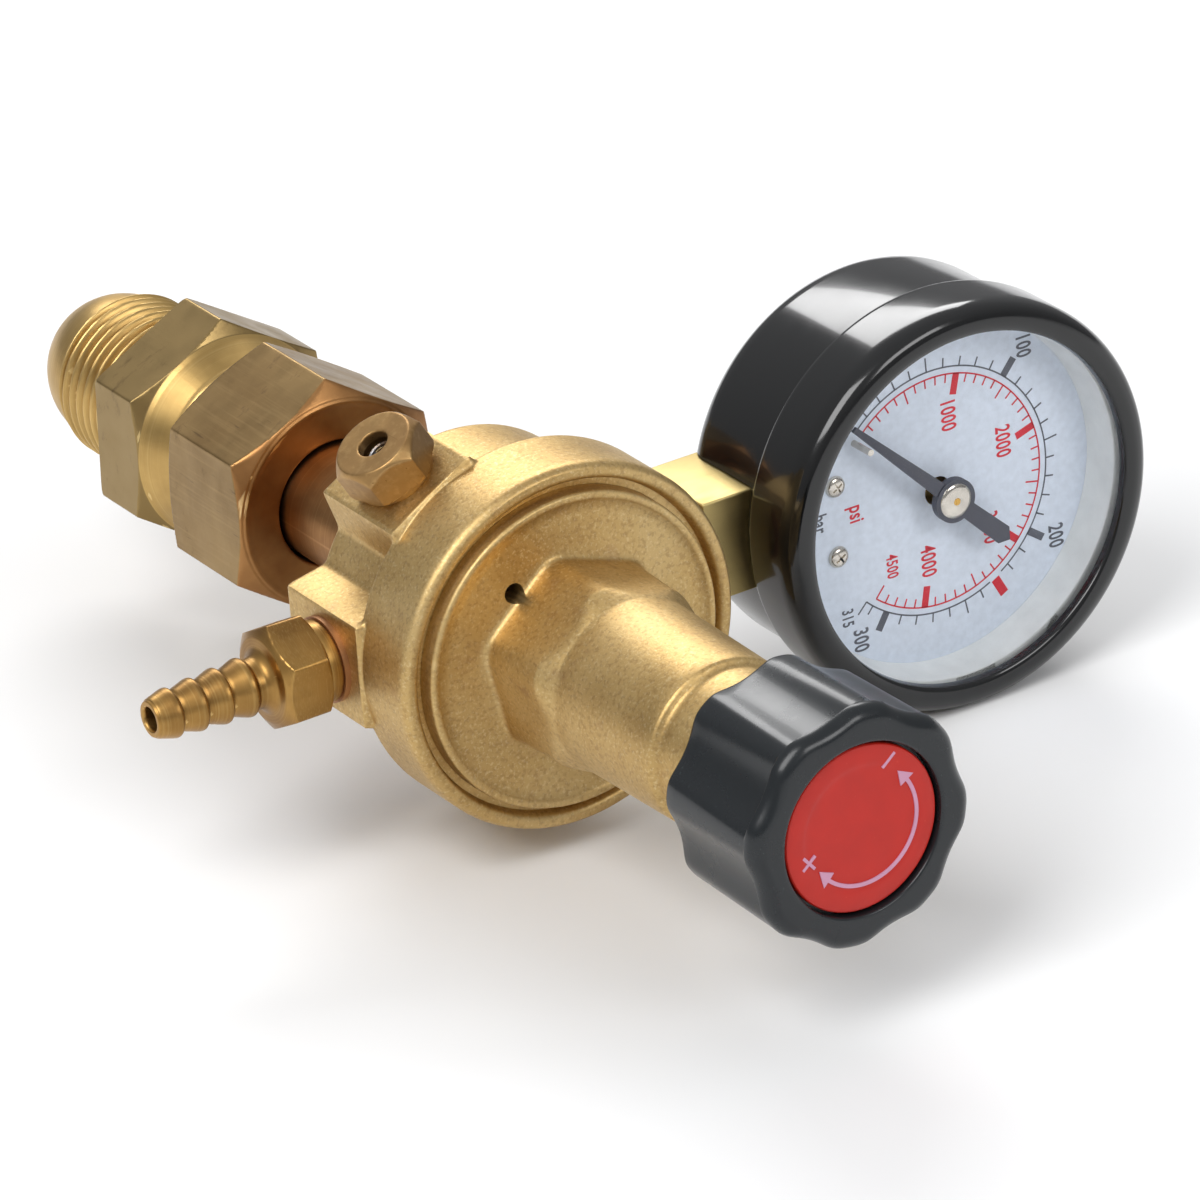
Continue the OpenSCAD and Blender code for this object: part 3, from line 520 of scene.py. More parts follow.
def window():
    """Clear plastic: see-through from straight on, with a sheen at the edges."""
    finish = Finish("clear_window", metallic=0.0)
    finish.tint = finish.ramp(finish.noise(300, 3), (0.3, colour(236, 243, 248)),
                              (0.7, colour(250, 252, 253)))
    finish.roughness(finish.noise(900, 4), 0.02, 0.05)
    finish.bump(finish.noise(90, 2), 0.002, 0.3)
    material = finish.done()
    see_through = finish.make("BsdfTransparent")
    mix = finish.make("MixShader")
    gloss = finish.make("LayerWeight")
    gloss.inputs["Blend"].default_value = 0.06
    finish.links.new(gloss.outputs["Fresnel"], mix.inputs[0])
    finish.links.new(see_through.outputs[0], mix.inputs[1])
    finish.links.new(finish.shader.outputs[0], mix.inputs[2])
    finish.links.new(mix.outputs[0], finish.nodes["Material Output"].inputs["Surface"])
    return material


PORT_CENTRE = (0, PORT_Y, 0)
MATERIALS = {
    "blasted_brass": blasted_brass("blasted_brass"),
    "turned_brass": turned_brass("turned_brass", colour(204, 164, 92), colour(168, 130, 70),
                                 colour(236, 206, 136), rough=(0.26, 0.4), stains=0.2),
    "union_brass": bar_brass("union_brass", colour(176, 142, 96), colour(140, 108, 68), colour(226, 190, 132),
                             colour(92, 72, 50)),
    "stem_brass": turned_brass("stem_brass", colour(160, 118, 76), colour(116, 82, 52), colour(198, 152, 104),
                               rough=(0.28, 0.42), lines=0.012),
    "barb_brass": turned_brass("barb_brass", colour(170, 132, 74), colour(122, 88, 48), colour(216, 184, 120),
                               PORT_CENTRE, (1, 0, 0), (0.32, 0.46)),
    "relief_brass": bar_brass("relief_brass", colour(186, 150, 98), colour(148, 114, 72),
                              colour(226, 192, 132), colour(96, 68, 36), grain=(30, 30, 30)),
    "shank_brass": bar_brass("shank_brass", colour(178, 156, 98), colour(146, 124, 74), colour(214, 192, 132),
                             colour(70, 60, 40), grain=(2.2, 60, 60), scratch_turn=(10, 0, 60)),
    "movement_brass": turned_brass("movement_brass", colour(222, 178, 98), colour(184, 142, 70),
                                   colour(250, 224, 150)),
    "sintered_bronze": blasted_brass("sintered_bronze"),
    "tube_bronze": turned_brass("tube_bronze", colour(190, 140, 92), colour(140, 96, 60),
                                colour(226, 180, 120)),
    "copper": turned_brass("copper", colour(150, 108, 78), colour(104, 74, 52), colour(186, 140, 104),
                           rough=(0.4, 0.55)),
    "steel": steel("steel", colour(190, 190, 192), (0.25, 0.4)),
    "spring_steel": steel("spring_steel", colour(200, 200, 204), (0.15, 0.3)),
    "nickel": steel("nickel", colour(222, 216, 206), (0.14, 0.26)),
    "knob_plastic": moulded("knob_plastic", colour(22, 26, 29), colour(76, 88, 88), (0.24, 0.32),
                            0.004, coat=0.1, specular=0.4),
    "red_plastic": moulded("red_plastic", colour(176, 30, 18), colour(206, 74, 52), (0.3, 0.4),
                           0.003, coat=0.1, specular=0.3),
    "white_nylon": moulded("white_nylon", colour(214, 212, 200), colour(190, 188, 178), (0.4, 0.55)),
    "white_ring": moulded("white_ring", colour(226, 229, 228), colour(206, 208, 206), (0.35, 0.5)),
    "rubber": moulded("rubber", colour(34, 34, 34), colour(60, 60, 60), (0.5, 0.7)),
    "black_enamel": moulded("black_enamel", colour(10, 11, 12), colour(56, 62, 60), (0.12, 0.2),
                            0.004, coat=0.4, specular=0.4),
    "dial_face": moulded("dial_face", colour(210, 219, 232), colour(202, 211, 224), (0.5, 0.6),
                         0.0006, scale=900),
    "pointer_paint": moulded("pointer_paint", colour(72, 74, 84), colour(96, 98, 106), (0.4, 0.55), 0.004),
    "clear_window": window(),
}
PRINT = {
    "grey": moulded("print_grey", colour(92, 95, 104), colour(108, 112, 120), (0.5, 0.6), 0.002),
    "red": moulded("print_red", colour(204, 44, 58), colour(214, 76, 84), (0.5, 0.6), 0.002),
    "lilac": moulded("print_lilac", colour(190, 138, 164), colour(224, 180, 204), (0.5, 0.6), 0.002),
}

for node, carried in frame["nodes"].items():
    if not carried.data.materials:
        carried.data.materials.append(None)
    for slot in carried.material_slots:
        slot.material = MATERIALS[SLOT_OF[node]]

# ------------------------------------------------------------------ inlet adapter, nut and stem

THREAD_PITCH = 1.814
THREAD_CREST = 11.455
THREAD_DEPTH = 1.15
THREAD_END = 15.8
BORE_LIMIT = 3.5
NOSE_TIP = edge("inlet_adapter", 1, 1)


def thread(radius, station, angles):
    """Cuts a right-hand thread into the stretch between the shoulder and the nose."""
    if not 0.05 < station < THREAD_END + 0.6 or radius < 9.5:
        return np.full(len(angles), radius)
    phase = (station / THREAD_PITCH - angles / 360) % 1
    valley = smooth(0, 1, np.abs(2 * phase - 1))
    fade = smooth(0.0, 1.2, station) * (1 - smooth(THREAD_END - 0.4, THREAD_END + 0.5, station))
    return radius - THREAD_DEPTH * valley * fade


def adapter_shape(radius, station, angles):
    """The threaded and turned outline, cut down to the hexagon where that is smaller."""
    return softer(thread(radius, station, angles), hexagon(angles, HEX_TURN, ADAPTER_FLATS), 0.05)


def inlet_adapter():
    dome = 10.55
    tip = 4.5
    last = math.acos(tip / dome)
    foot_of_dome = THREAD_END + 0.9
    height = NOSE_TIP - THREAD_END - 0.9
    nose = [(dome * math.cos(a), foot_of_dome + height * math.sin(a) / math.sin(last), 0)
            for a in np.linspace(0, last, 22)]
    shoulder = [
        (10.7, NUT_FRONT - 1), (10.7, ADAPTER_BACK - 6.2), (11.2, ADAPTER_BACK - 5.4),
        (11.9, ADAPTER_BACK - 4.6, 1), (12.1, ADAPTER_BACK - 4.0), (13.9, ADAPTER_BACK - 0.5),
        (14.33, ADAPTER_BACK, 0.12),
        (16.8, ADAPTER_BACK + 1.43, 0), (16.8, -0.5, 0), (16.2, -0.02), (THREAD_CREST + 0.05, 0, 0.1),
        (THREAD_CREST, 0.3, 0), (THREAD_CREST, THREAD_END, 0.3), (10.7, THREAD_END + 0.6, 0.2)
    ]
    foot = edge("inlet_adapter", 1, 0)
    outline = [(3, foot), (10.6, foot)] + shoulder + nose + [(3.4, NOSE_TIP), (3, NOSE_TIP - 0.5)]
    angles = np.unique(np.round(np.concatenate([hex_angles(HEX_TURN) % 360, np.arange(0, 360, 2.5)]), 2))
    angles = angles[np.append(np.diff(angles) > 0.2, True)]
    rows = fine(rounded(outline, 0.15), 0.13)
    rows = [(adapter_shape(r, s, angles) if r > BORE_LIMIT else r, s) for r, s in without_bore_rows(rows)]
    return piece("inlet_adapter_brass", "inlet_adapter", [skin(MAIN, angles, rows)], sharp=50,
                 material=adapter_finish())


def without_bore_rows(rows):
    """Drops all but every twelfth row of the plain bore, up to its rounded mouth."""
    mouth = NOSE_TIP - 0.6
    return [row for k, row in enumerate(rows) if row[0] > BORE_LIMIT or k % 12 == 0 or row[1] > mouth]


def union_nut():
    corner = NUT_FLATS / 2 / math.cos(math.radians(30))
    rise = (corner - 14.5) * 0.62
    outline = [
        (8.57, NUT_BACK + 0.9, 0.3), (8.75, NUT_BACK + 0.45, 0.2), (13.2, NUT_BACK + 0.12, 0.3),
        (13.75, NUT_BACK, 0.15), (14.05, NUT_BACK + 0.02, 0.15), (14.3, NUT_BACK + 0.2, 0.1),
        (14.6, NUT_BACK + 0.3, 0.1), (corner + 0.3, NUT_BACK + 0.3 + rise * 1.25, 0),
        (corner + 0.3, NUT_FRONT - 1.4, 0), (14.6, NUT_FRONT, 0.1), (11.2, NUT_FRONT, 0.2),
        (10.95, NUT_FRONT - 0.4), (10.95, NUT_BACK + 6.6), (8.57, NUT_BACK + 6.6)
    ]
    return piece("union_nut_brass", "union_nut", [turned(
        MAIN, outline, hex_angles(HEX_TURN),
        lambda r, s, a: softer(r, hexagon(a, HEX_TURN, NUT_FLATS), 0.05), step=0.3
    )], sharp=30, material=nut_finish())


def adapter_finish():
    """Turned brass with drawn, darker flats wherever the surface lies outside the turned radii."""
    finish = Finish("inlet_adapter_faces")
    rings = finish.lathe_lines((0, 0, 0), (0, 1, 0), 5200)
    finish.tint = finish.ramp(finish.noise(90, 5), (0.3, colour(170, 138, 84)), (0.62, colour(200, 166, 104)))
    finish.layer(finish.ramp(rings, (0.5, 0.0), (0.8, 0.3)), colour(232, 206, 144))
    parts = finish.make("SeparateXYZ")
    finish.links.new(finish.where, parts.inputs[0])
    across = finish.make("CombineXYZ")
    finish.links.new(parts.outputs["X"], across.inputs["X"])
    finish.links.new(parts.outputs["Z"], across.inputs["Z"])
    length = finish.make("VectorMath", operation="LENGTH")
    finish.links.new(across.outputs[0], length.inputs[0])
    flat = finish.make("Math", operation="GREATER_THAN")
    flat.inputs[1].default_value = 14.27 * MM
    finish.links.new(length.outputs["Value"], flat.inputs[0])
    drawn = finish.noise(32, 3, stretch=(60, 2.2, 60))
    marks = finish.noise(150, 6, stretch=(1, 2.4, 1.3), rough=0.72)
    finish.layer(flat.outputs[0], colour(150, 126, 82))
    both = finish.make("Math", operation="MULTIPLY")
    finish.links.new(flat.outputs[0], both.inputs[0])
    finish.links.new(finish.ramp(marks, (0.56, 0.0), (0.72, 0.65)), both.inputs[1])
    finish.layer(both.outputs[0], colour(98, 76, 50))
    # painted shade: concave corners darkened brown
    finish.layer(finish.pointed((0.40, 0.6), (0.49, 0.0)), colour(104, 76, 42))
    finish.layer(finish.pointed((0.53, 0.0), (0.60, 0.7)), colour(236, 208, 146))
    finish.roughness(finish.noise(160, 4), 0.28, 0.44)
    finish.bump(rings, 0.006, 0.6)
    finish.bump(drawn, 0.008, 0.6)
    finish.bump(finish.noise(1400, 2), 0.006, 0.4)
    return finish.done()


def nut_finish():
    """Bar brass on the flats, and coppery turned metal on the end that faces the body."""
    finish = Finish("union_nut_faces")
    drawn = finish.noise(32, 3, stretch=(60, 2.2, 60))
    tone = finish.noise(70, 5)
    finish.tint = finish.ramp(tone, (0.32, colour(128, 102, 64)), (0.64, colour(154, 127, 84)))
    finish.layer(finish.ramp(drawn, (0.5, 0.0), (0.8, 0.22)), colour(196, 166, 116))
    scratches = finish.noise(80, 3, stretch=(20, 1.4, 20), turn=(0, 40, 25))
    marks = finish.noise(150, 6, stretch=(1, 2, 1.3), rough=0.72)
    finish.layer(finish.ramp(scratches, (0.66, 0.0), (0.72, 0.6)), colour(88, 66, 46))
    finish.layer(finish.ramp(marks, (0.62, 0.0), (0.74, 0.6)), colour(84, 64, 48))
    rings = finish.lathe_lines((0, 0, 0), (0, 1, 0), 5200)
    facing = finish.make("SeparateXYZ")
    finish.links.new(finish.make("TexCoord").outputs["Normal"], facing.inputs[0])
    behind = finish.make("Math", operation="MULTIPLY")
    behind.inputs[1].default_value = -1
    finish.links.new(facing.outputs["Y"], behind.inputs[0])
    face = finish.ramp(behind.outputs[0], (0.2, 0.0), (0.45, 1.0))
    turned_tint = finish.ramp(finish.noise(120, 4), (0.3, colour(140, 98, 58)), (0.7, colour(176, 130, 82)))
    mix = finish.make("Mix", data_type="RGBA")
    finish.links.new(face, mix.inputs["Factor"])
    finish.links.new(finish.tint, mix.inputs[6])
    finish.links.new(turned_tint, mix.inputs[7])
    finish.tint = mix.outputs[2]
    # painted shade: concave corners darkened dark brown
    finish.layer(finish.pointed((0.42, 0.6), (0.49, 0.0)), colour(70, 48, 30))
    finish.layer(finish.pointed((0.53, 0.0), (0.60, 0.8)), colour(240, 204, 146))
    finish.roughness(marks, 0.3, 0.46)
    finish.bump(rings, 0.006, 0.6)
    finish.bump(scratches, 0.01, 0.5)
    finish.bump(finish.noise(1400, 2), 0.008, 0.4)
    return finish.done()


def inlet_stem():
    collar = edge("inlet_stem", 1, 1)
    back = edge("inlet_stem", 1, 0)
    outline = [
        (2.5, back), (7.5, back), (7.5, BODY_REAR + 0.6), (8.2, BODY_REAR + 0.6, 0.3),
        (8.2, collar - 3.6), (10.3, collar - 3.6), (10.3, collar - 0.6), (9.7, collar), (4, collar),
        (4, collar - 7), (2.5, collar - 7)
    ]
    return piece("inlet_stem_brass", "inlet_stem", [turned(MAIN, outline)])


# ------------------------------------------------------------------ body and bonnet


def body_radius(station, angles):
    """Outline of the forging at a station: front wall, recessed rear and three drafted bosses, blended."""
    wall = 20.7 + 3.8 * (1 - smooth(WALL_BACK - 0.7, WALL_BACK + 0.7, station))
    radius = np.full(len(angles), wall)
    boss_rise = 4.5 * (1 - smooth(WALL_BACK - 2.4, WALL_BACK - 1.0, station))
    for boss in PORT_TURNS:
        off = np.radians(np.abs((angles - boss + 180) % 360 - 180))
        near = off < math.radians(80)
        top = PORT_FACE / np.cos(np.where(near, off, 0))
        side = 11.96 / (np.sin(off) + 0.2 * np.cos(off) + 1e-6)
        height = np.where(near, softer(top, side, 0.22), 0) - boss_rise
        radius = bolder(radius, height, 0.28)
    return radius


def body():
    angles = even_angles(480)
    inside = [
        (7.5, BODY_REAR), (7.5, BODY_REAR - 5), (5.5, BODY_REAR - 5), (5.5, -78.5), (6, -78.5), (6, -81.9),
        (17.5, -81.9), (17.5, -85.5), (21.2, -85.5), (21.2, BODY_FRONT + 1.6), (22.15, BODY_FRONT + 1.6),
        (22.45, BODY_FRONT + 0.35), (22.8, BODY_FRONT + 0.04), (23.1, BODY_FRONT), (23.7, BODY_FRONT),
        (24.0, BODY_FRONT + 0.12), (24.35, BODY_FRONT + 0.6), (24.5, BODY_FRONT + 1.1)
    ]
    rows = [(float(r), s) for r, s in inside]
    stations = np.concatenate([
        np.linspace(BODY_FRONT + 2, WALL_BACK - 2.6, 8), np.linspace(WALL_BACK - 2.4, WALL_BACK + 1, 26),
        np.linspace(WALL_BACK + 1.8, BODY_REAR - 1.1, 14)
    ])
    rows += [(body_radius(s, angles), s) for s in stations]
    rim = 0.9
    for t in np.linspace(0, 90, 7):
        drop = rim * (1 - math.cos(math.radians(t)))
        station = BODY_REAR - rim + rim * math.sin(math.radians(t))
        rows.append((body_radius(BODY_REAR - rim, angles) - drop, station))
    rows += [(19.0, BODY_REAR), (12.0, BODY_REAR)]
    return piece("body_forging", "body", [skin(MAIN, angles, rows)], sharp=45)


def bonnet_radius(station, angles):
    """Drafted hexagon with rounded corners that a cone cuts down to the round neck."""
    flats = hexagon(angles, 101, 24.0 - 0.02 * (FLANGE_FACE - station), 0.45)
    cone = 13.25 - 0.3 * smooth(FLANGE_FACE, FLANGE_FACE - 10, station)
    cone = cone - 1.2 * np.clip((FLANGE_FACE - 10.2 - station) / 3.0, 0, 1)
    return softer(np.full(len(angles), cone), flats, 0.22)


def bonnet():
    angles = even_angles(360)
    neck_top, neck_end = FLANGE_FACE - 13.2, FLANGE_FACE - 33.7
    rows = [(16.5, -87.5), (21.15, -87.5), (21.15, FLANGE_FACE + 0.5), (21.05, FLANGE_FACE + 0.15),
            (20.85, FLANGE_FACE), (20.3, FLANGE_FACE), (20.05, FLANGE_FACE + 0.12), (19.8, FLANGE_FACE + 0.3),
            (18.5, FLANGE_FACE + 0.34), (16.0, FLANGE_FACE + 0.3), (14.6, FLANGE_FACE + 0.22)]
    for lift, out in ((0.15, 0.75), (0.0, 0.42), (-0.25, 0.18), (-0.6, 0.05)):
        rows.append((bonnet_radius(FLANGE_FACE, angles) + out, FLANGE_FACE + lift))
    for station in np.concatenate([np.linspace(FLANGE_FACE - 1.2, FLANGE_FACE - 9, 10),
                                   np.linspace(FLANGE_FACE - 9.4, neck_top, 22)]):
        rows.append((bonnet_radius(station, angles), station))
    foot = float(np.mean(rows[-1][0]))
    for t in np.linspace(0.04, 1, 12):
        rows.append((foot + (11.3 - foot) * t, neck_top + (neck_end - neck_top) * t))
    rows += [(11.2, neck_end - 0.25), (10.95, neck_end - 0.5), (10.6, neck_end - 0.7),
             (10.35, neck_end - 1.1), (10.3, neck_end - 1.6), (10.3, SPIGOT_END + 0.4),
             (9.9, SPIGOT_END), (5.4, SPIGOT_END),
             (5.06, SPIGOT_END + 0.4), (5.06, neck_end - 6), (9.2, neck_end - 6), (9.2, -91.5), (16.5, -91.5)]
    rows = [(float(r) if np.isscalar(r) else r, s) for r, s in rows]
    result = piece("bonnet_forging", "bonnet", [skin(MAIN, angles, rows)], sharp=50)
    vent = math.radians(127.4)
    hole = Place((13.3 * math.cos(vent), 0, 13.3 * math.sin(vent)), (0, 1, 0), (1, 0, 0), (0, 0, 1))
    cutter = turned(hole, [(0, -97), (1.35, -97), (1.35, -90), (0, -90)], even_angles(32), radius=0)
    cut(result, [cutter], sharp=50)
    return result


# ------------------------------------------------------------------ knob

LOBE_TURN = -9
LOBES = 8
SCREW_TRAVEL = 6


def knob_radius(station, angles):
    """Outline of the knob: eight lobes, and flutes that end in a lip behind the front face."""
    along = np.clip((station - KNOB_FRONT) / (KNOB_BACK - KNOB_FRONT), 0, 1)
    lobe = 15.9 - 0.4 * along
    bottom = 14.2 + 0.1 * along + 0.85 * (1 - smooth(KNOB_FRONT + 2.05, KNOB_FRONT + 2.4, station))
    flute = 11.0
    centre = bottom + flute
    off = np.radians((angles - LOBE_TURN) % (360 / LOBES) - 180 / LOBES)
    inside = np.maximum(flute ** 2 - (centre * np.sin(off)) ** 2, 0)
    groove = np.where(inside > 0, centre * np.cos(off) - np.sqrt(inside), 40)
    return softer(np.full(len(angles), lobe), groove, 0.4)


def knob():
    angles = even_angles(480)
    rows = [(6.0, KNOB_FRONT + 2), (11.3, KNOB_FRONT + 2), (11.3, KNOB_FRONT + 0.3),
            (11.4, KNOB_FRONT + 0.08), (11.6, KNOB_FRONT), (11.9, KNOB_FRONT)]
    edge_round = 2.0
    for t in np.linspace(0, 90, 12):
        drop = edge_round * (1 - math.sin(math.radians(t)))
        station = KNOB_FRONT + edge_round * (1 - math.cos(math.radians(t)))
        rows.append((knob_radius(KNOB_FRONT + edge_round, angles) - drop, station))
    for station in np.concatenate([np.linspace(KNOB_FRONT + 2.05, KNOB_FRONT + 3.2, 20),
                                   np.linspace(KNOB_FRONT + 4, KNOB_BACK - 0.7, 12)]):
        rows.append((knob_radius(station, angles), station))
    back_round = 0.7
    back = KNOB_BACK - back_round
    for t in np.radians(np.linspace(20, 90, 5)):
        drop = back_round * (1 - math.cos(t))
        rows.append((knob_radius(back, angles) - drop, back + back_round * math.sin(t)))
    roof = SPIGOT_END - SCREW_TRAVEL - 0.5
    rows += [(11.3, KNOB_BACK), (10.8, KNOB_BACK - 0.5), (10.8, roof), (6.0, roof)]
    return piece("knob_moulding", "knob", [skin(MAIN, angles, rows)], sharp=50)


def knob_disc():
    face = edge("knob_disc", 1, 0)
    back = edge("knob_disc", 1, 1)
    outline = [(0, face + 0.14), (7.9, face + 0.14, 0.5), (8.5, face, 0.5), (10.9, face + 0.02, 0.45),
               (10.9, back, 0.1), (0, back)]
    result = piece("knob_disc_moulding", "knob_disc", [turned(MAIN, outline)])
    height = 0.03
    drop = 0.2

    def on_face(x, z, y):
        return (x, y, z)

    middle_r, half, shift = 7.75, 0.25, 0.3
    spans = np.radians(np.linspace(31, -134, 60))
    band = [(shift + r * math.cos(a), shift + r * math.sin(a))
            for r, angles in ((middle_r + half, spans), (middle_r - half, spans[::-1])) for a in angles]
    shells = [plate(band, face - height, face + drop, on_face)]
    for end, way in ((spans[0], 1), (spans[-1], -1)):
        tip = end + way * 0.26
        arrow = [(shift + r * math.cos(a), shift + r * math.sin(a))
                 for r, a in ((middle_r, tip), (middle_r + 1.1, end), (middle_r - 1.1, end))]
        shells.append(plate(arrow, face - height, face + drop, on_face))
    reach, wide = 1.2, 0.2
    minus = [(-reach, -wide), (reach, -wide), (reach, wide), (-reach, wide)]
    quarter = [(wide, -wide), (reach, -wide), (reach, wide)]
    plus = [(u * c - v * s, u * s + v * c) for c, s in ((1, 0), (0, 1), (-1, 0), (0, -1)) for u, v in quarter]
    sign_turn = 39
    for at, sign in (((4.5, 7.7), minus), ((-7.7, -2.1), plus)):
        shells.append(plate(spun(sign, sign_turn, at), face - height, face + drop, on_face))
    printed = piece("knob_disc_print", "knob_disc", shells, replaces=False, material=PRINT["lilac"])
    return result, printed


# ------------------------------------------------------------------ relief valve and hose barb


def relief_cap():
    turn, flats = -42, 11
    outline = [(1.2, 15.4), (4.85, 15.4), (4.85, PORT_FACE), (5.2, PORT_FACE, 0.05),
               (5.2, PORT_FACE + 0.9, 0.1), (6.1, PORT_FACE + 1.0, 0.1), (6.5, PORT_FACE + 1.5, 0),
               (6.5, 29.3, 0), (5.15, 31.0, 0.15),
               (2.15, 31.0, 0.1), (2.05, 30.8), (2.05, 29.6), (3.1, 29.6), (3.1, 17), (1.2, 17)]
    shell = turned(RELIEF_AXIS, outline, hex_angles(turn),
                   lambda r, s, a: softer(r, hexagon(a, turn, flats), 0.04), step=0.3)
    return piece("relief_cap_brass", "relief_cap", [shell], sharp=30)


def hose_barb():
    turn, flats = 92.5, 12.7
    outline = [
        (1.6, 16.5), (4.85, 16.5), (4.85, PORT_FACE + 0.8), (5.4, PORT_FACE + 0.8, 0.3), (5.45, 26.9, 0.4),
        (5.2, 27.8, 0.2), (6.5, 27.8, 0.1), (7.2, 28.3, 0), (7.3, 33.2, 0), (5.6, 34.3, 0.2),
        (4.3, 34.4, 0.3), (3.35, 35.2, 0.8)
    ]
    for crest, radius, root in ((37.1, 3.85, 2.95), (40.6, 3.65, 2.8), (44.1, 3.45, 2.65), (47.6, 3.25, 2.5)):
        outline += [(3.3 if crest < 38 else root, crest - 0.5, 0.2), (radius, crest - 0.1, 0.25),
                    (radius + 0.03, crest + 0.4, 0.4), (root + 0.1, crest + 2.7, 0.3)]
    outline += [(2.5, BARB_TIP - 0.4, 0.3), (2.35, BARB_TIP, 0.12), (1.75, BARB_TIP, 0.1),
                (1.6, BARB_TIP - 0.3)]
    shell = turned(BARB_AXIS, outline, hex_angles(turn),
                   lambda r, s, a: softer(r, hexagon(a, turn, flats), 0.04), step=0.3)
    return piece("hose_barb_brass", "hose_barb", [shell], sharp=30)


# ------------------------------------------------------------------ gauge


def gauge_shank():
    low, high = (np.array(c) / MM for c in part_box("gauge_shank"))
    start, half = PORT_FACE + 2.8, 7.0
    end = GAUGE[0] - CASE_RADIUS + 3
    bar = block((start, PORT_Y - half, low[2]), (end, PORT_Y + half, high[2]), 0.3)
    foot = block((end, PORT_Y - 3.8, -4), (high[0], PORT_Y + 5, 4), 0.3)
    neck = turned(SHANK_AXIS, [(0, 16.5), (4.85, 16.5), (4.85, PORT_FACE + 0.8), (6.2, PORT_FACE + 0.8),
                               (6.2, start + 0.1), (0, start + 0.1)])
    return piece("gauge_shank_bar", "gauge_shank", [bar, foot, neck], sharp=40)


def gauge_case():
    r, wall = CASE_RADIUS, 1.0
    front = edge("gauge_case", 1, 0)
    outline = [(0, CASE_BACK), (r - 2.4, CASE_BACK, 0.8), (r, CASE_BACK - 2.4, 1.6), (r, front, 0.1),
               (r - wall, front, 0.1), (r - wall, CASE_BACK - 2.0, 1.0), (r - 3, CASE_BACK - 1.2, 0.6),
               (0, CASE_BACK - 1.2)]
    result = piece("gauge_case_shell", "gauge_case", [turned(GAUGE_AXIS, outline, even_angles(200))])
    low, high = (np.array(c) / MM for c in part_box("gauge_shank"))
    half, gap = 7.15, 0.15
    slot = block((GAUGE[0] - r - 3, PORT_Y - half, low[2] - gap),
                 (GAUGE[0] - r + 6, PORT_Y + half, high[2] + gap), 0.3)
    cut(result, [slot])
    return result


def gauge_bezel():
    r = 28.05
    lip = BEZEL_FRONT + 1.5
    outline = [
        (CASE_RADIUS, BEZEL_BACK, 0.1), (27.5, BEZEL_BACK, 0.4), (r, BEZEL_BACK - 0.7, 0.5),
        (r, BEZEL_FRONT + 2.2, 1.2), (27.35, BEZEL_FRONT + 0.55, 0.9), (26.0, BEZEL_FRONT, 0.9),
        (24.9, BEZEL_FRONT + 0.02, 0.6),
        (24.15, BEZEL_FRONT + 0.35, 0.3), (24.0, lip, 0.1), (CASE_RADIUS, lip, 0.1)
    ]
    return piece("gauge_bezel_ring", "gauge_bezel", [turned(GAUGE_AXIS, outline, even_angles(240))])


def gauge_ring():
    front, back = edge("gauge_ring", 1, 0), edge("gauge_ring", 1, 1)
    outline = [(24.2, front), (25.6, front), (25.6, back), (23.5, back, 0.1), (23.7, back - 0.9, 0.6)]
    return piece("gauge_spacer_ring", "gauge_ring", [turned(GAUGE_AXIS, outline, even_angles(200))])


def dial_point(x, z, y):
    return (GAUGE[0] + x, y, GAUGE[2] + z)


PRINT_LIFT = 0.04
SCALE_START = 135
SCALE_SWEEP = 270
FULL_SCALE = 315
RED_MARK = 230
PSI = 0.0689476


def arc_band(inner, outer, start, end):
    """A strip round the dial between two radii and two angles."""
    spans = np.radians(np.linspace(start, end, max(2, int(abs(end - start)))))
    outline = [(outer * math.cos(a), outer * math.sin(a)) for a in spans]
    outline += [(inner * math.cos(a), inner * math.sin(a)) for a in spans[::-1]]
    return plate(outline, DIAL_FACE - PRINT_LIFT, DIAL_FACE + 0.1, dial_point)


def tick(angle, inner, outer, width):
    """A straight mark along a radius of the dial."""
    a = math.radians(angle)
    c, s = math.cos(a), math.sin(a)
    outline = [(r * c - w * s, r * s + w * c) for r, w in
               ((inner, -width / 2), (outer, -width / 2), (outer, width / 2), (inner, width / 2))]
    return plate(outline, DIAL_FACE - PRINT_LIFT, DIAL_FACE + 0.1, dial_point)


def scale_angle(bar):
    return SCALE_START - SCALE_SWEEP * bar / FULL_SCALE


def dial_marks():
    """Both scales: grey for bar and red for psi, with a red block in the bar scale."""
    grey_arc, red_arc, line = 17.0, 16.0, 0.2
    grey = [arc_band(grey_arc - line / 2, grey_arc + line / 2, SCALE_START, -58),
            arc_band(grey_arc - line / 2, grey_arc + line / 2, -65, SCALE_START - SCALE_SWEEP)]
    red = [arc_band(red_arc - line / 2, red_arc + line / 2, SCALE_START, scale_angle(4500 * PSI))]
    for bar in list(range(0, FULL_SCALE, 10)) + [FULL_SCALE]:
        if bar == RED_MARK:
            continue
        if bar in (100, 200, 300):
            grey.append(tick(scale_angle(bar), grey_arc, grey_arc + 2.7, 1.05))
        else:
            length = 2.0 if bar % 50 == 0 or bar == FULL_SCALE else 1.3
            grey.append(tick(scale_angle(bar), grey_arc, grey_arc + length, line))
    for psi in range(0, 4501, 100):
        angle = scale_angle(psi * PSI)
        if psi and psi % 1000 == 0:
            red.append(tick(angle, red_arc - 2.9, red_arc, 1.0))
        else:
            red.append(tick(angle, red_arc - (2.0 if psi % 500 == 0 else 1.2), red_arc, line))
    red.append(tick(scale_angle(RED_MARK), grey_arc + 0.2, grey_arc + 3.0, 1.3))
    piece("dial_marks_grey", "gauge_dial", grey, replaces=False, material=PRINT["grey"])
    piece("dial_marks_red", "gauge_dial", red, replaces=False, material=PRINT["red"])


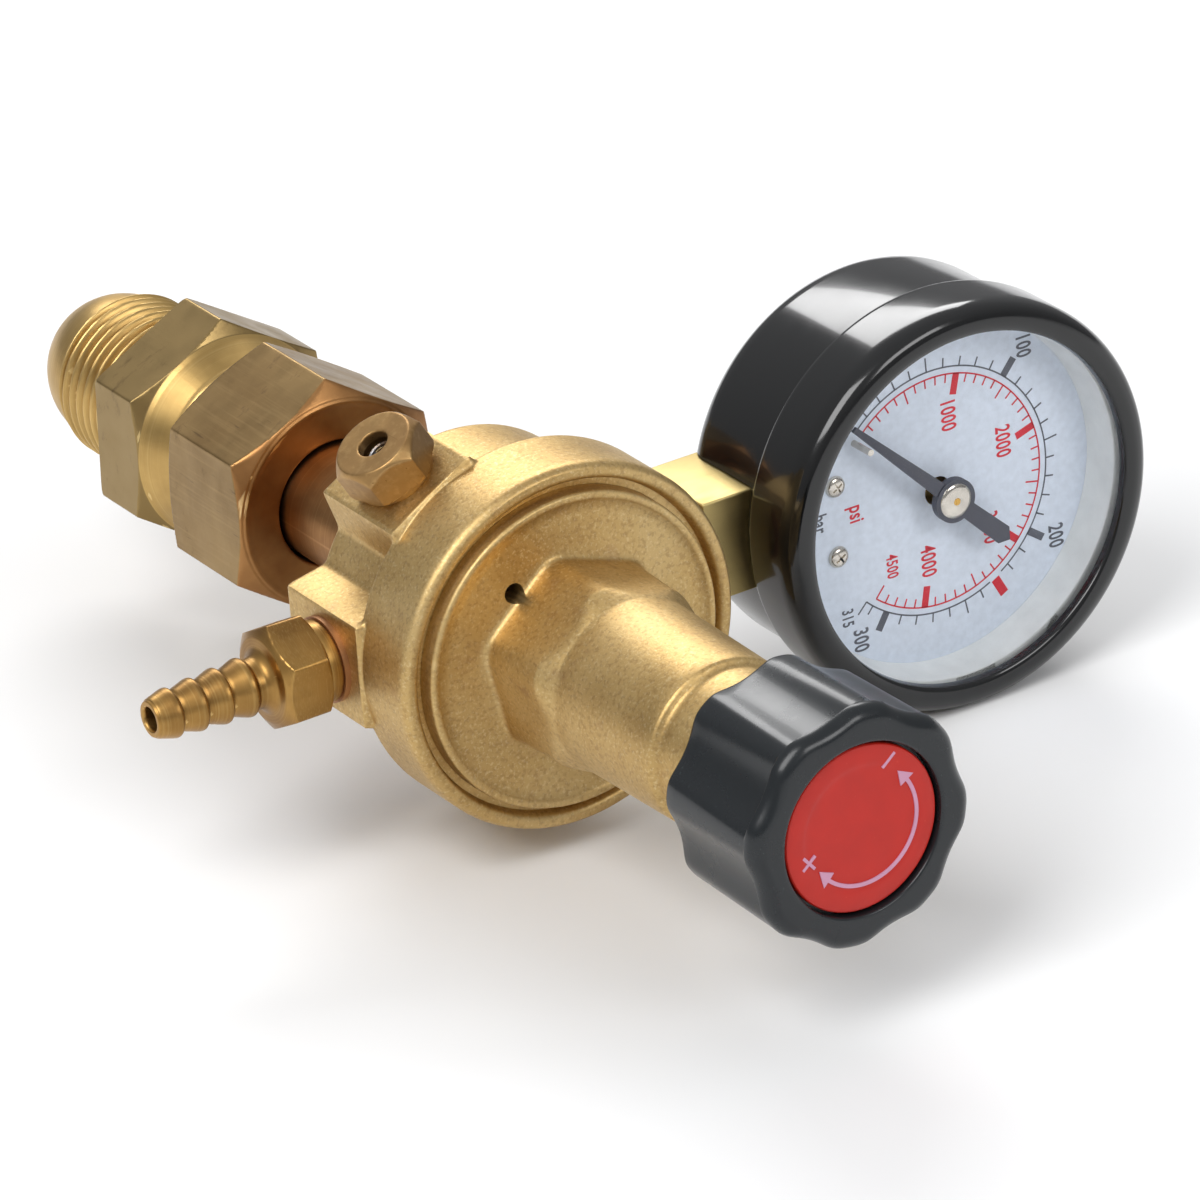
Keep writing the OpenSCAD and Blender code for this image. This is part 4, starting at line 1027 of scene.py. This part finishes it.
def lettering(name, words, ink, narrow=0.66):
    """Numbers and units printed on the dial: (text, x, z, height), reading with +X as up."""
    cap_height = 0.72
    shells = []
    for text, x, z, height in words:
        curve = bpy.data.curves.new(name, "FONT")
        curve.body = text
        curve.size = height / cap_height
        curve.align_x = "CENTER"
        curve.align_y = "CENTER"
        curve.offset = 0.022 * height
        curve.space_character = 1.08
        curve.extrude = 0.05
        curve.resolution_u = 4
        holder = added(name, curve)
        bpy.context.view_layer.update()
        mesh = bpy.data.meshes.new_from_object(holder.evaluated_get(bpy.context.evaluated_depsgraph_get()))
        points = [(GAUGE[0] + x + v.co.y, DIAL_FACE + 0.01 - v.co.z, GAUGE[2] + z - v.co.x * narrow)
                  for v in mesh.vertices]
        shells.append((np.array(points), [tuple(f.vertices) for f in mesh.polygons]))
        bpy.data.objects.remove(holder)
        bpy.data.curves.remove(curve)
        bpy.data.meshes.remove(mesh)
    return piece(name, "gauge_dial", shells, replaces=False, material=PRINT[ink])


def dial_screws():
    """Two pan-head screws with cross recesses."""
    shells, slots = [], []
    for x, z in ((-15.7, 5.6), (-15.9, -4.3)):
        place = Place(dial_point(x, z, 0), (0, 1, 0), (1, 0, 0), (0, 0, 1))
        dome = [(0, DIAL_FACE - 0.8), (0.75, DIAL_FACE - 0.76, 0.4), (1.35, DIAL_FACE - 0.5, 0.4),
                (1.5, DIAL_FACE, 0.1), (0, DIAL_FACE)]
        shells.append(turned(place, dome, even_angles(48)))
        for turn in (30, 120):
            bar = spun([(-0.8, -0.14), (0.8, -0.14), (0.8, 0.14), (-0.8, 0.14)], turn)
            slots.append(plate(bar, DIAL_FACE - 1.2, DIAL_FACE - 0.4,
                               lambda px, pz, y, x=x, z=z: dial_point(x + px, z + pz, y)))
    result = piece("dial_screw_heads", "dial_screws", shells)
    cut(result, slots)
    return result


def pointer_cap():
    face = edge("pointer_cap", 1, 0)
    back = edge("pointer_cap", 1, 1)
    outline = [(0, face), (1.9, face, 0.2), (2.4, face + 0.25, 0.2), (2.4, back + 0.1, 0.05), (0, back + 0.1)]
    cap = piece("pointer_hub_cap", "pointer_cap", [turned(GAUGE_AXIS, outline, even_angles(96))])
    dot = [(0, face - 0.03), (0.5, face - 0.03, 0.05), (0.55, face + 0.05), (0, face + 0.05)]
    arbor = piece("pointer_arbor_end", "pointer_arbor", [turned(GAUGE_AXIS, dot, even_angles(40))],
                  replaces=False)
    return cap, arbor


inlet_adapter()
union_nut()
inlet_stem()
body()
bonnet()
knob()
knob_disc()
relief_cap()
hose_barb()
gauge_shank()
gauge_case()
gauge_bezel()
gauge_ring()
dial_marks()
NUMBER, SMALL_NUMBER, UNIT = 2.3, 1.75, 2.0
lettering("dial_numbers_red", [
    ("1000", 2.2, 10.1, NUMBER), ("2000", 10.4, 3.8, NUMBER), ("3000", 7.7, -7.7, NUMBER),
    ("4000", -2.2, -9.35, NUMBER), ("4500", -7.8, -8.3, SMALL_NUMBER), ("psi", -12.7, 0.8, NUMBER)
], "red")
lettering("dial_numbers_grey", [
    ("100", 14.4, 16.2, NUMBER), ("200", 17.8, -12.1, NUMBER), ("300", -13.3, -17.1, NUMBER),
    ("315", -15.1, -13.4, SMALL_NUMBER), ("bar", -18.3, 1.1, UNIT)
], "grey")
dial_screws()
pointer_cap()

# ------------------------------------------------------------------ floor, light and camera

LOWEST = CAD_BOX[0][2]


def floor():
    mesh = bpy.data.meshes.new("floor")
    size = 6.0
    corners = [(-size, -size), (size, -size), (size, size), (-size, size)]
    mesh.from_pydata([(x, y, LOWEST) for x, y in corners], [], [(0, 1, 2, 3)])
    result = added("floor", mesh)
    finish = Finish("floor", metallic=0.0)
    finish.tint = finish.ramp(finish.noise(6, 2), (0.3, (0.86, 0.86, 0.86, 1)), (0.7, (0.88, 0.88, 0.88, 1)))
    finish.roughness(finish.noise(20, 2), 0.85, 0.9)
    mesh.materials.append(finish.done())


def softbox(name, at, target, width, height, power):
    light = bpy.data.lights.new(name, "AREA")
    light.shape = "RECTANGLE"
    light.size, light.size_y = width, height
    light.energy = power
    result = added(name, light)
    result.location = at
    towards = Vector(np.array(target) - np.array(at))
    result.rotation_euler = towards.to_track_quat("-Z", "Y").to_euler()


def studio():
    world = bpy.data.worlds.new("studio")
    world.use_nodes = True
    nodes, links = world.node_tree.nodes, world.node_tree.links
    where = nodes.new("ShaderNodeTexCoord")
    parts = nodes.new("ShaderNodeSeparateXYZ")
    ramp = nodes.new("ShaderNodeValToRGB")
    points = ramp.color_ramp.elements
    points[0].position, points[0].color = 0.0, (0.42, 0.42, 0.43, 1)
    points[1].position, points[1].color = 0.9, (0.95, 0.96, 0.98, 1)
    links.new(where.outputs["Generated"], parts.inputs[0])
    links.new(parts.outputs["Z"], ramp.inputs["Fac"])
    links.new(ramp.outputs["Color"], nodes["Background"].inputs["Color"])
    nodes["Background"].inputs["Strength"].default_value = 0.62
    bpy.context.scene.world = world
    centre = (0.0, -0.08, 0.0)
    softbox("key", (-0.75, -0.45, 1.0), centre, 0.7, 0.7, 10)
    softbox("front", (0.35, -1.3, 0.75), centre, 0.6, 0.5, 5)
    softbox("rim", (0.5, 0.9, 0.9), centre, 0.9, 0.4, 9)


def camera():
    """A long lens, turned 31 degrees from the front and looking down 26."""
    data = bpy.data.cameras.new("camera")
    data.sensor_width = 36
    data.lens = 270
    data.clip_start, data.clip_end = 0.05, 20
    result = added("camera", data)
    right = (0.837467, -0.541569, -0.073161)
    up = (0.292695, 0.331448, 0.896924)
    back = (-0.461497, -0.772557, 0.436091)
    at = (-0.514603, -0.963166, 0.495904)
    rows = [(right[i], up[i], back[i], at[i]) for i in range(3)]
    result.matrix_world = Matrix(rows + [(0, 0, 0, 1)])
    bpy.context.scene.camera = result


floor()
studio()
camera()
bpy.context.scene.view_settings.view_transform = "Standard"
